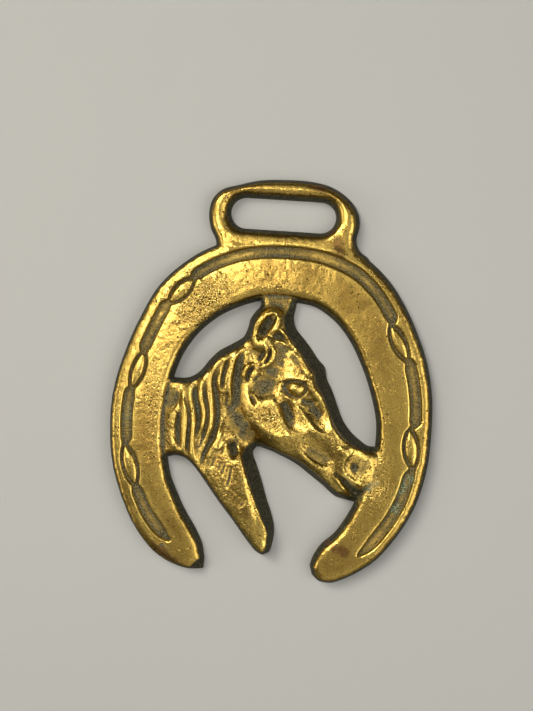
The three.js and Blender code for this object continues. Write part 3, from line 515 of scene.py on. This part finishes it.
def relief(x, y):
    """The modelled surface of the head: the spot heights' surface, plus a dome that falls with the squared
    distance from its centre, plus strands and creases that fall as a bell on either side of their line."""
    height = spot_surface(x, y)
    for centre, half_sizes, turn, rise in DOMES:
        u, v = oval(x, y, centre, half_sizes, turn)
        height += rise * np.clip(1 - u * u - v * v, 0, 1) ** DOME_FALL
    for rise, right, left, *line in STROKES:
        curve = smooth_line(line, step=1.0) if len(line) > 2 else np.array(line, float)
        distance, place = nearest(x, y, curve, sided=True)
        share = place / (len(curve) - 1)
        taper = np.minimum(1, STROKE_END + STROKE_SWELL * share * (1 - share))
        width = np.where(distance > 0, left, right)
        fall = np.where(width > WIDE, WIDE_FALL, NARROW_FALL)
        height += rise * taper * np.exp(-np.abs(distance / width) ** fall)
    return height


def rolled(depth, width):
    """How far a rolled edge falls below the surface it belongs to: a quarter ellipse, one width in from the
    wall and ROLL_DEPTH widths deep."""
    t = np.clip(1 - depth / width, 0, 1)
    return ROLL_DEPTH * width * (1 - np.sqrt(1 - t * t))


def casting(x, y):
    """Height of the casting at each point, and the distances that the mesh and the finish need: the plate
    is the lower of its walls and its face, the head the lower of its wall and the relief less the rolled
    edge, and the casting the higher of the two."""
    edge, place = nearest(x, y, outer_line)
    share = place / (len(outer_line) - 1)
    inner, _ = nearest(x, y, heels_and_inner_line)
    in_shoe = inside_ring(x, y, shoe_outline)
    loop, _ = depth_in(x, y, loop_outline)
    slot = slot_depth(x, y)
    head, head_place = depth_in(x, y, head_outline)
    head_ring = np.vstack([head_outline, head_outline[:1]])
    slope, roll = (along(head_ring[:, k], head_place) for k in (2, 3))

    arch = np.exp(-((x - ARCH_WALL["x"]) / ARCH_WALL["reach"]) ** 2) * (y > ARCH_WALL["above"])
    inner_width = INNER_WALL + ARCH_WALL["more"] * arch
    corner = np.hypot(x - HEEL_CORNER[0], y - HEEL_CORNER[1])
    # The distances, in wall widths, are joined so that the corners of the heels come out round.
    distances = (edge, inner / inner_width, corner / HEEL_CORNER_WALL)
    in_widths = sum(np.maximum(d, 0.01) ** -CORNER_POWER for d in distances) ** (-1 / CORNER_POWER)
    shoe = np.where(in_shoe, plate_wall(in_widths, 1.0), -1)
    # The face is carried past the outer edge under the loop, where the loop's own wall stands.
    signed_edge = np.where(in_shoe | (inner < edge), edge, -edge)
    plate = np.minimum(np.maximum(shoe, plate_wall(loop, LOOP_WALL)), plate_wall(slot, SLOT_WALL))
    plate = soft_min(plate, shoe_face(x, y, signed_edge, share), FACE_ROUND)

    wall = np.interp(head / slope, HEAD_WALL_DEPTHS, HEAD_WALL_HEIGHTS)
    surface = np.full(x.shape, -1.0)
    on_head = head > -0.5
    surface[on_head] = relief(x[on_head], y[on_head])
    horse = soft_min(wall, surface - rolled(head - ROLL_FROM * slope, roll), HEAD_ROUND)
    height = soft_max(plate, horse, HEAD_FILLET)
    shoe_depth = np.where(in_shoe, np.minimum(edge, inner), -np.minimum(edge, inner))
    frame_depth = np.minimum(np.maximum(shoe_depth, loop), slot)
    depth = np.maximum(frame_depth, head)
    walls = ease(*WALL_SKIN, np.maximum(frame_depth, head / slope))
    for on_wall, elsewhere, size, seed in SKIN:
        height = height + (on_wall * walls + elsewhere) * lattice_noise(x, y, size, seed)
    return {"height": height, "depth": depth, "head": head, "frame": frame_depth, "slope": slope}


# ---- Wear and dirt, as whole arrays ----

# Stained places: centre, half sizes, turn in degrees, amount.
VERDIGRIS = [
    (31.3, 23.6, 1.1, 3.2, -22, 1), (29.4, 18.4, 1, 1.8, -28, 0.9), (-32.2, 34.8, 0.8, 3, 0, 0.45),
    (23.8, 23, 2.6, 0.9, 38, 0.7), (19.6, 22.8, 3.2, 0.9, -42, 0.7), (-16.8, 39.4, 0.7, 3, 12, 0.6),
]
BROWN_STAINS = [
    (12.4, 76.2, 1.5, 3.4, 28, 1), (7.6, 88.2, 2.6, 0.9, -15, 1), (17.4, 8.2, 2.6, 1.6, -25, 1),
    (-21.6, 4.4, 3.6, 0.9, -32, 1),
]
# Places where dirt has stayed, and places laid dark as painted shade: the tie and the arch's inner edge
# above the ear, the muzzle's dish and the lower edge of the jaw.
DIRT_AND_SHADE_PLACES = [
    (-22.1, 35.6, 0.8, 8.4, 2, 0.4), (-6.8, 35.4, 4.8, 1.7, -55, 1.25), (2.6, 59.4, 1.8, 3.2, 0, 0.7),
    (0.4, 61.8, 4.2, 1.2, 0, 0.6), (21.2, 21, 2.2, 1.3, 40, 1), (1.9, 51, 1.9, 2.7, -10, 1.05),
    (-1.4, 43.6, 2.9, 2, 10, 1.15), (0.2, 47.2, 2, 1.3, 0, 1.1), (3.8, 38.6, 0.8, 2.7, 24, 1.1),
    (4.6, 50, 1.9, 1.1, -35, 0.8), (20.8, 27.4, 2.4, 2.8, 0, 0.6), (9.8, 39.8, 1.6, 0.9, -40, 0.95),
    (-7.3, 43, 1, 6.6, 0, 1.2), (-2, 56.6, 1.1, 2.2, -22, 0.9), (1, 55, 1.7, 0.8, -10, 0.8),
    (19.8, 26.9, 0.9, 1.2, 10, 1.4), (14.6, 22, 3.6, 0.8, -36, 0.85), (3.2, 42.9, 1, 0.7, 0, 0.5),
    (-0.6, 61.3, 2.4, 0.7, 0, 0.5), (-7.6, 29.1, 0.9, 1.9, -20, 1.5), (-22.4, 6.2, 0.8, 0.5, -30, 1.3),
    (-20.9, 5.3, 0.7, 0.4, -30, 1), (0.2, 36.4, 2.2, 1.1, -40, 0.4),
]
# Places where the cast skin shows, pitted.
ROUGH_PATCHES = [
    (-9.6, 26.6, 3.6, 4.6, 20, 0.7), (-6.4, 34.6, 4.8, 2.2, -55, 1), (0.4, 61.8, 3.4, 1.6, 0, 1),
    (-1.4, 43.4, 3, 2.2, 10, 0.7), (-16.5, 62, 7.5, 7, 45, 1.2), (24, 22.4, 3.4, 2.6, -40, 1),
    (-22.2, 35, 1.6, 9, 0, 1), (0, 37.2, 3.8, 2.8, -35, 1.3), (11.2, 29.6, 3.6, 1.5, -20, 1),
    (14, 33, 3, 2.4, -40, 0.8), (4.8, 49.4, 2.8, 1.8, 0, 0.8), (-27, 40, 3.4, 9, 8, 0.7),
    (9.6, 39, 2.6, 1.4, -40, 1),
]
# Edge of a place: where it begins and is full, in half sizes, and its raggedness: amount, size and seed.
PLACE_EDGE, RAGGED = (1.25, 0.45), ((0.35, 1.3, 5), (0.25, 0.6, 6))


def places(x, y, spots):
    """1 in the middle of each oval place, falling to 0 past its edge along a ragged line."""
    total = np.zeros(x.shape)
    ragged = sum(amount * lattice_noise(x, y, size, seed) for amount, size, seed in RAGGED)
    for cx, cy, half_length, half_width, turn, amount in spots:
        away = np.hypot(*oval(x, y, (cx, cy), (half_length, half_width), turn)) + ragged
        total = np.maximum(total, amount * ease(*PLACE_EDGE, away))
    return total


# ---- The mesh ----

PITCH = 0.27  # spacing of the points on the face
GRID_PITCH = 0.25  # spacing of the square grid that distances and hollows are read from
BACK_PITCH = 3.0  # spacing of the points on the flat back
EDGE_HEIGHT = 0.3  # height of the edge row above the back
BACK_ROUNDING = 0.15  # the flat back ends this far inside the edge
WALL_ROWS = (0.12, 0.28, 0.46, 0.66, 0.88, 1.12)  # depths of the rows of points that follow every edge
ON_EDGE = 0.01  # a point this close to the joined outline lies on it
ON_ROW = 0.03  # and this close to a row's depth, on the row
PROBE = 0.15  # half the span over which the way inwards is measured
EDGE_CLEAR, ROW_CLEAR, GRID_CLEAR = 0.4, 0.5, 0.6  # least distance from other points, in pitches
LEFT, RIGHT, FOOT, TOP = -38, 38, -1, 91  # area that the points fill


def triangulate(points, edges=()):
    """Delaunay triangles over points in the plane. Given edges are kept."""
    _, _, faces, source, _, _ = delaunay_2d_cdt(points.tolist(), list(edges), [], 0, 1e-7)
    first = np.array([s[0] if s else -1 for s in source])
    return first[np.array(faces)]


def edge_points():
    """Evenly spaced points along the whole edge of the casting: the points of each outline that lie on
    the edge of the joined shape. The slot's outline is two straight sides and two half circles."""
    lines = [smooth_line(SHOE_OUTER, step=PITCH), smooth_line(SHOE_INNER, step=PITCH),
             smooth_line(LOOP_OUTLINE, True, PITCH), smooth_line(HEAD_OUTLINE, True, PITCH)[:, :2]]
    (cx, cy), r = SLOT["centre"], SLOT["radius"]
    reach = SLOT["half_length"] - r
    straight, bend = 2 * reach, math.pi * r
    s = np.arange(0, 2 * straight + 2 * bend, PITCH)
    on_foot, on_right, on_top = s < straight, s < straight + bend, s < 2 * straight + bend
    right, left = (s - straight) / r, (s - 2 * straight - bend) / r
    stretches = [on_foot, on_right, on_top]
    slot_x = np.select(stretches, [s - reach, reach + r * np.sin(right), 3 * reach + bend - s],
                       -reach - r * np.sin(left))
    slot_y = np.select(stretches, [-r + 0 * s, -r * np.cos(right), r + 0 * s], r * np.cos(left))
    lines.append(np.stack([slot_x + cx, slot_y + cy], 1))
    points = np.vstack(lines)
    return points[np.abs(casting(*points.T)["depth"]) < ON_EDGE]


def casting_grid():
    """The casting's height and distances on a square grid that covers it with a margin."""
    x = np.arange(LEFT - 0.5, RIGHT + 0.5, GRID_PITCH)
    y = np.arange(FOOT - 1.0, TOP + 1.0, GRID_PITCH)
    gx, gy = np.meshgrid(x, y)
    return {"x": gx, "y": gy, **casting(gx, gy)}


def read_grid(field, values, x, y):
    """A quantity on the casting's grid, read between its points."""
    u, v = (x - field["x"][0, 0]) / GRID_PITCH, (y - field["y"][0, 0]) / GRID_PITCH
    i = np.clip(u.astype(int), 0, values.shape[1] - 2)
    j = np.clip(v.astype(int), 0, values.shape[0] - 2)
    return blend(values, i, j, u - i, v - j)


def blurred(values, weight, radius):
    """Gaussian blur of a grid that only counts the places with weight."""
    reach = round(3 * radius / GRID_PITCH)
    taps = np.exp(-0.5 * (np.arange(-reach, reach + 1) * GRID_PITCH / radius) ** 2)

    def blur(grid):
        for axis in (0, 1):
            padded = np.pad(grid, [(reach, reach) if a == axis else (0, 0) for a in (0, 1)])
            size = grid.shape[axis]
            grid = sum(t * padded.take(range(k, k + size), axis=axis) for k, t in enumerate(taps))
        return grid

    return blur(values * weight) / np.maximum(blur(weight), 1e-6)


def grid_points(across, up, stagger=0):
    """Points in rows over the casting's area. Every other row is moved on by the stagger."""
    x, y = np.meshgrid(np.arange(LEFT, RIGHT, across), np.arange(FOOT, TOP, up))
    x = x + (np.arange(len(y)) % 2)[:, None] * stagger
    return np.stack([x.ravel(), y.ravel()], 1)


def thinned(points, spacing):
    """Keeps one point in each square cell."""
    cells = np.round(points / spacing).astype(int)
    _, keep = np.unique(cells, axis=0, return_index=True)
    return points[np.sort(keep)]


# Dirt in the hollows: each layer's blur, how far below the blurred surface it is full, and its share.
HOLLOWS = ((0.4, 0.09, 0.35), (0.8, 0.2, 0.45), (1.8, 0.4, 0.5))
# The crests' polish is laid on as pale yellow, which is partly a painted highlight.
CREST_BLUR, CREST_RISE = 0.8, 0.3  # and polish on the crests: blur, and how far above it is full
FRAME_WALL = 1.6  # width of the frame's rough wall, for polish
FRAME_GRAIN, HEAD_GRAIN, HIDDEN_GRAIN = 0.35, 0.6, 0.6  # least pitting of each surface
HIDDEN_DIRT = 0.25  # dirt on the back and at the edges
# Where wear and painted light begin and are full: the crests' polish and painted highlight in wall widths,
# the painted shade on steep slopes by the slope, and the walls' skin by the distance from the frame's edge,
# and in wall widths on the head and at the heel's corner.
POLISH, SLOPE = (0.9, 1.6), (0.5, 1.5)
FRAME_SKIN, HEAD_SKIN, CORNER_SKIN = (1.1, 0.55), (1.1, 0.6), (0.95, 0.7)
# Dirt in the shoe's groove: mean share, swing either way, size and seed.
GROOVE_DIRT = (0.82, 0.25, 9.0, 7)


def wear(field, points):
    """Dirt, polish and painted light for each point of the mesh. Dirt gathers where the surface lies below
    its blurred self, on the steep rough walls and at the listed places, some of which are painted shade;
    polish, partly a painted highlight, comes where it stands above; steep slopes get painted shade."""
    weight = (field["depth"] > 0).astype(float)
    height = np.where(weight > 0, field["height"], 0)
    x, y, z = points.T

    def read(grid):
        return read_grid(field, grid, x, y)

    def above_blurred(radius):
        return read(height - blurred(height, weight, radius))

    frame_depth, head_depth = read(field["frame"]), read(field["head"])
    head_widths = read(field["head"] / field["slope"])
    on_face, on_frame = z > 0.0, head_depth < 0
    hollow = sum(np.clip(-above_blurred(blur) / depth, 0, 1) * share for blur, depth, share in HOLLOWS)
    in_from_wall = np.maximum(frame_depth / FRAME_WALL, head_widths)
    # Crests get pale yellow polish laid on, partly a painted highlight.
    crest = np.clip(above_blurred(CREST_BLUR) / CREST_RISE, 0, 1) * ease(*POLISH, in_from_wall)
    # Steep slopes get a darker brown laid on them: painted shade, for the dark surroundings that steep
    # metal reflects.
    rise_y, rise_x = np.gradient(height, GRID_PITCH)
    steep = ease(*SLOPE, read(np.hypot(rise_x, rise_y)))
    corner = np.hypot(x - HEEL_CORNER[0], y - HEEL_CORNER[1]) / HEEL_CORNER_WALL
    frame_wall = np.maximum(ease(*FRAME_SKIN, frame_depth), ease(*CORNER_SKIN, corner))
    wall = np.where(frame_depth > head_depth * 0.5, frame_wall, ease(*HEAD_SKIN, head_widths))
    # Round the shoe the groove is dirty in some stretches and rubbed clean in others.
    mean, swing, size, seed = GROOVE_DIRT
    hollow = np.where(on_frame, hollow * (mean + swing * lattice_noise(x, y, size, seed)), hollow)
    # The listed places add dirt, and painted shade at some of them.
    hollow = np.maximum(hollow, places(x, y, DIRT_AND_SHADE_PLACES))
    rough = np.maximum(places(x, y, ROUGH_PATCHES), np.where(on_frame, FRAME_GRAIN, HEAD_GRAIN))
    return {"hollow": np.where(on_face, hollow, HIDDEN_DIRT), "crest": crest * on_face,
            "wall": np.where(on_face, wall, 0), "steep": steep * on_face,
            "verdigris": places(x, y, VERDIGRIS), "stain": places(x, y, BROWN_STAINS),
            "rough": np.where(on_face, rough, HIDDEN_GRAIN)}


def closed_surface(field):
    """Points and triangles of the whole casting as one closed surface. Rows of points follow every edge of
    the plan, one row for each step in from the edge, and a staggered grid fills the rest. They are joined
    in the plane and then raised to the height field. The edge row is joined to a flat back."""

    def depth_at(x, y):
        return read_grid(field, field["depth"], x, y)

    def inward(p):
        x, y = p.T
        g = np.stack([depth_at(x + PROBE, y) - depth_at(x - PROBE, y),
                      depth_at(x, y + PROBE) - depth_at(x, y - PROBE)], 1)
        return g / np.maximum(np.linalg.norm(g, axis=1, keepdims=True), 1e-6)

    edge = thinned(edge_points(), PITCH * EDGE_CLEAR)
    rows = [edge]
    for depth in WALL_ROWS:
        row = edge + inward(edge) * depth
        for _ in range(3):
            row = row + inward(row) * (depth - depth_at(*row.T))[:, None]
        row = row[np.abs(depth_at(*row.T) - depth) < ON_ROW]
        rows.append(thinned(row, PITCH * ROW_CLEAR))

    staggered = grid_points(PITCH, PITCH * math.sqrt(3) / 2, PITCH / 2)
    staggered = staggered[depth_at(*staggered.T) > WALL_ROWS[-1] + PITCH * GRID_CLEAR]

    plan = np.vstack(rows + [staggered])
    on_edge = np.arange(len(plan)) < len(edge)
    faces = triangulate(plan)
    faces = faces[depth_at(*plan[faces].mean(1).T) > 0.0]
    height = np.where(on_edge, EDGE_HEIGHT, np.maximum(casting(*plan.T)["height"], EDGE_HEIGHT))

    # The rim of the face, as directed edges that belong to one triangle only.
    sides = np.vstack([faces[:, [0, 1]], faces[:, [1, 2]], faces[:, [2, 0]]])
    _, which, count = np.unique(np.sort(sides, axis=1), axis=0, return_index=True, return_counts=True)
    rim = sides[which[count == 1]]
    rim_points = np.unique(rim)
    back_number = np.full(len(plan), -1)
    back_number[rim_points] = np.arange(len(rim_points))
    back_rim = back_number[rim]
    back_edge = plan[rim_points] + inward(plan[rim_points]) * BACK_ROUNDING

    coarse = grid_points(BACK_PITCH, BACK_PITCH)
    coarse = coarse[depth_at(*coarse.T) > BACK_PITCH * 0.5]
    back = np.vstack([back_edge, coarse])
    back_faces = triangulate(back, back_rim.tolist())
    within = inside(*back[back_faces].mean(1).T, back[back_rim[:, 0]], back[back_rim[:, 1]])

    first_back = len(plan)
    a, b = rim.T
    d, c = first_back + back_rim.T
    around = np.vstack([np.stack([b, a, d], 1), np.stack([b, d, c], 1)])
    triangles = np.vstack([faces, around, first_back + back_faces[within][:, ::-1]])
    points = np.vstack([np.column_stack([plan, height]), np.column_stack([back, np.zeros(len(back))])])
    used, renumbered = np.unique(triangles, return_inverse=True)
    return points[used], renumbered.reshape(triangles.shape)


def make_casting(material):
    """The casting as a piece of the scene, with its wear kept at every point for the material to read."""
    field = casting_grid()
    points, triangles = closed_surface(field)
    mesh = bpy.data.meshes.new("horse_brass_casting")
    place = (points - [0, LENGTH / 2, 0]) * MM
    mesh.from_pydata(place.tolist(), [], triangles.tolist())
    mesh.polygons.foreach_set("use_smooth", np.ones(len(triangles), bool))
    mesh.validate()
    mesh.materials.append(material)
    for name, values in wear(field, points).items():
        mesh.attributes.new(name, "FLOAT", "POINT").data.foreach_set("value", values.astype(np.float32))
    return add_object("horse_brass_casting", mesh)


# ---- Finish ----


def linear(hex_colour):
    """An sRGB colour, given as six hex digits, as linear red, green, blue and alpha 1."""
    srgb = [int(hex_colour[i:i + 2], 16) / 255 for i in (0, 2, 4)]
    return (*(c / 12.92 if c <= 0.04045 else ((c + 0.055) / 1.055) ** 2.4 for c in srgb), 1.0)


def add_node(tree, kind, *values, output=0, **settings):
    """Adds a node with its settings and gives one of its outputs. The values go to its inputs in order,
    counting only those that the settings leave in use. A value that is a node's output is linked."""
    node = tree.nodes.new("ShaderNode" + kind)
    for name, value in settings.items():
        setattr(node, name, value)
    for socket, value in zip([s for s in node.inputs if s.enabled], values):
        if isinstance(value, bpy.types.NodeSocket):
            tree.links.new(value, socket)
        else:
            socket.default_value = value
    return [s for s in node.outputs if s.enabled][output]


# Cloud noises: size in millimetres, and detail. Each has its real size but the grains: the mould's sand,
# of about 0.15 mm, is too fine to show and is drawn twice as coarse.
NOISES = {
    "clouds": (9.0, 3), "blots": (1.6, 3), "specks": (0.6, 3), "grains": (0.3, 2), "pit groups": (2.2, 3),
    "lumps": (1.1, 3),
}
PIT_SPACING = 0.8
# Each mask adds up shares of patterns and wear, is 0 up to the first level, 1 from the second, and smooth
# between.
MASKS = [
    ("lighter", {"clouds": 1}, 0.35, 0.65),
    ("tarnish", {"specks": 1}, 0.5, 0.68),
    ("speckle", {"grains": 1}, 0.42, 0.6),
    ("grain shadow", {"grains": 1}, 0.5, 0.62),
    ("grain glint", {"grains": 1}, 0.46, 0.38),
    ("pit", {"cells": 1}, 0.34, 0.16),
    ("pitted", {"pit groups": 1, "rough": 0.16}, 0.56, 0.68),
    ("dirt", {"hollow": 1, "blots": 0.3, "specks": 0.5}, 0.7, 1.3),
    ("deep dirt", {"hollow": 1, "specks": 0.6}, 1.15, 1.6),
    ("skin", {"wall": 1, "blots": 0.4}, 0.4, 0.85),
    ("skin shade", {"specks": 1}, 0.42, 0.62),
    ("crust", {"blots": 1, "specks": 1}, 0.8, 1.1),
    ("lump", {"lumps": 1}, 0.3, 0.7),
    ("grit", {"specks": 1}, 0.3, 0.7),
]
# sRGB colours over the filed brass, each laid over the ones before it: the masks and wear it follows, its
# share, and its colour, or the mask that blends its two colours.
FILED_BRASS = "a0803c"
LAYERS = [
    (["lighter"], 1.0, "b8984a"),
    (["tarnish"], 0.4, "785a20"),
    # painted shade: darker brown on steep slopes
    (["steep"], 0.75, "4c3a10"),
    # rubbed polish on the crests, partly a painted highlight
    (["crest"], 0.6, "ecca68"),
    (["rough", "grain shadow"], 0.6, "4a360a"),
    (["rough", "grain glint"], 0.4, "fce490"),
    (["pitted", "pit"], 0.85, "241c08"),
    # dirt in the hollows, and painted shade at some of the listed places
    (["dirt"], 0.9, ("speckle", "40351a", "80703e")),
    (["deep dirt"], 0.85, ("speckle", "25241a", "6c6850")),
    (["skin"], 1.0, ("skin shade", "262417", "46432c")),
    (["stain"], 0.6, "6c4430"),
    (["verdigris", "crust"], 0.85, ("speckle", "3a4432", "8a977a")),
]
# Sums: name, operation, and what it takes. Dirt, skin and verdigris dull the metal. The mould's skin of
# lumps and grit stands up where it is not polished away, and the pits go in.
SUMS = [
    ("covered", "MAXIMUM", "dirt", "skin"),
    ("dull", "MAXIMUM", "covered", "verdigris"),
    ("metal", "MULTIPLY_ADD", "dull", -0.6, 1.0),
    ("polish", "MULTIPLY_ADD", "specks", 0.25, 0.18),
    ("roughness", "MULTIPLY_ADD", "dull", 0.35, "polish"),
    ("low lumps", "MULTIPLY", "lump", 0.35),
    ("grain", "MULTIPLY_ADD", "grit", 0.65, "low lumps"),
    ("unpolished", "POWER", "rough", 2.0),
    ("cast", "MAXIMUM", "unpolished", "covered"),
    ("pits", "MULTIPLY", "pit", "pitted"),
    ("sunk", "MULTIPLY", "pits", -0.5),
    ("height", "MULTIPLY_ADD", "grain", "cast", "sunk"),
]
SPECULAR = 0.25
SKIN_HEIGHT = 0.15
BUMP_FILTER = 0.1  # Blender's own


def old_brass():
    """Brass, cast in a sand mould, filed and polished by hand, then handled and left to dull for decades.
    That gives the eye a warm yellow metal with broad soft highlights, bright on the rubbed high places,
    where a pale yellow laid on is partly a painted highlight, olive-grey dirt in the low ones, painted
    shade at a few listed places and on steep slopes, black-green walls with the mould's grain, casting
    pits, brown stains and a little verdigris."""
    material = bpy.data.materials.new("old_polished_cast_brass")
    material.use_nodes = True
    tree = material.node_tree
    shader = tree.nodes["Principled BSDF"]

    place = add_node(tree, "TexCoord", output=3)
    shown = {"cells": add_node(tree, "TexVoronoi", place, 1 / (PIT_SPACING * MM))}
    for name in ("hollow", "crest", "wall", "steep", "verdigris", "stain", "rough"):
        shown[name] = add_node(tree, "Attribute", output=2, attribute_name=name)
    for name, (size, detail) in NOISES.items():
        shown[name] = add_node(tree, "TexNoise", place, 1 / (size * MM), detail)
    for name, shares, low, high in MASKS:
        total = 0.0
        for source, share in shares.items():
            total = add_node(tree, "Math", shown[source], share, total, operation="MULTIPLY_ADD")
        shown[name] = add_node(tree, "MapRange", total, low, high, interpolation_type="SMOOTHSTEP")

    colour = linear(FILED_BRASS)
    for masks, amount, paint in LAYERS:
        for name in masks:
            amount = add_node(tree, "Math", shown[name], amount, operation="MULTIPLY")
        if isinstance(paint, str):
            over = linear(paint)
        else:
            blend_by, dark, light = paint
            over = add_node(tree, "Mix", shown[blend_by], linear(dark), linear(light), data_type="RGBA")
        colour = add_node(tree, "Mix", amount, colour, over, data_type="RGBA")
    for name, operation, *values in SUMS:
        values = [shown.get(value, value) for value in values]
        shown[name] = add_node(tree, "Math", *values, operation=operation)
    bump = add_node(tree, "Bump", 1.0, SKIN_HEIGHT * MM, BUMP_FILTER, shown["height"])

    tree.links.new(colour, shader.inputs["Base Color"])
    tree.links.new(shown["metal"], shader.inputs["Metallic"])
    tree.links.new(shown["roughness"], shader.inputs["Roughness"])
    tree.links.new(bump, shader.inputs["Normal"])
    shader.inputs["Specular IOR Level"].default_value = SPECULAR
    return material


# ---- Stage ----

FLOOR_HALF = 1.2  # metres
FLOOR_GAP = 0.2  # the floor lies this far under the brass's back
FLOOR_COLOUR, FLOOR_ROUGHNESS = "a3a29e", 0.9
WORLD_COLOUR, WORLD_STRENGTH = "b9bab8", 0.13
# Soft square lights aimed at the middle of the brass: name, place and side in metres, watts, colour.
LIGHTS = [
    ("window", (-0.48, 0.44, 0.70), 0.38, 6.6, "fffcf4"),
    ("fill", (0.46, -0.08, 0.50), 0.5, 2.8, "fffefa"),
    ("side", (-0.62, -0.12, 0.36), 0.35, 1.4, "fffcf4"),
    ("front", (0.12, -0.50, 0.50), 0.6, 0.6, "fffefa"),
    ("lamp", (-0.066, 0.034, 0.25), 0.04, 0.15, "fffaf0"),
    ("ceiling", (0.12, -0.02, 0.90), 0.6, 0.30, "ffffff"),
]


def make_floor():
    """A level sheet of uncoated pale paper, whose even matt face shows nothing but the brass's shadow."""
    h = FLOOR_HALF
    mesh = bpy.data.meshes.new("floor")
    mesh.from_pydata([(-h, -h, 0), (h, -h, 0), (h, h, 0), (-h, h, 0)], [], [(0, 1, 2, 3)])
    floor = add_object("floor", mesh)
    floor.location.z = -FLOOR_GAP * MM
    material = bpy.data.materials.new("pale_paper")
    material.use_nodes = True
    shader = material.node_tree.nodes["Principled BSDF"]
    shader.inputs["Base Color"].default_value = linear(FLOOR_COLOUR)
    shader.inputs["Roughness"].default_value = FLOOR_ROUGHNESS
    mesh.materials.append(material)


def make_light():
    """The studio's lights, and a dim even light from all round."""
    for name, place, size, power, colour in LIGHTS:
        data = bpy.data.lights.new(name, "AREA")
        data.shape, data.size, data.energy = "SQUARE", size, power
        data.color = linear(colour)[:3]
        light = add_object(name, data)
        light.location = place
        light.rotation_euler = (-Vector(place)).to_track_quat("-Z", "Y").to_euler()
    world = bpy.data.worlds.new("studio")
    world.use_nodes = True
    background = world.node_tree.nodes["Background"]
    background.inputs["Color"].default_value = linear(WORLD_COLOUR)
    background.inputs["Strength"].default_value = WORLD_STRENGTH
    bpy.context.scene.world = world
    # Plain sRGB keeps the warm yellow of the brass in its highlights.
    bpy.context.scene.view_settings.view_transform = "Standard"


# ---- The scene ----

make_camera()
make_floor()
make_light()
piece = make_casting(old_brass())
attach(piece, "root")
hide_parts("horse_brass")
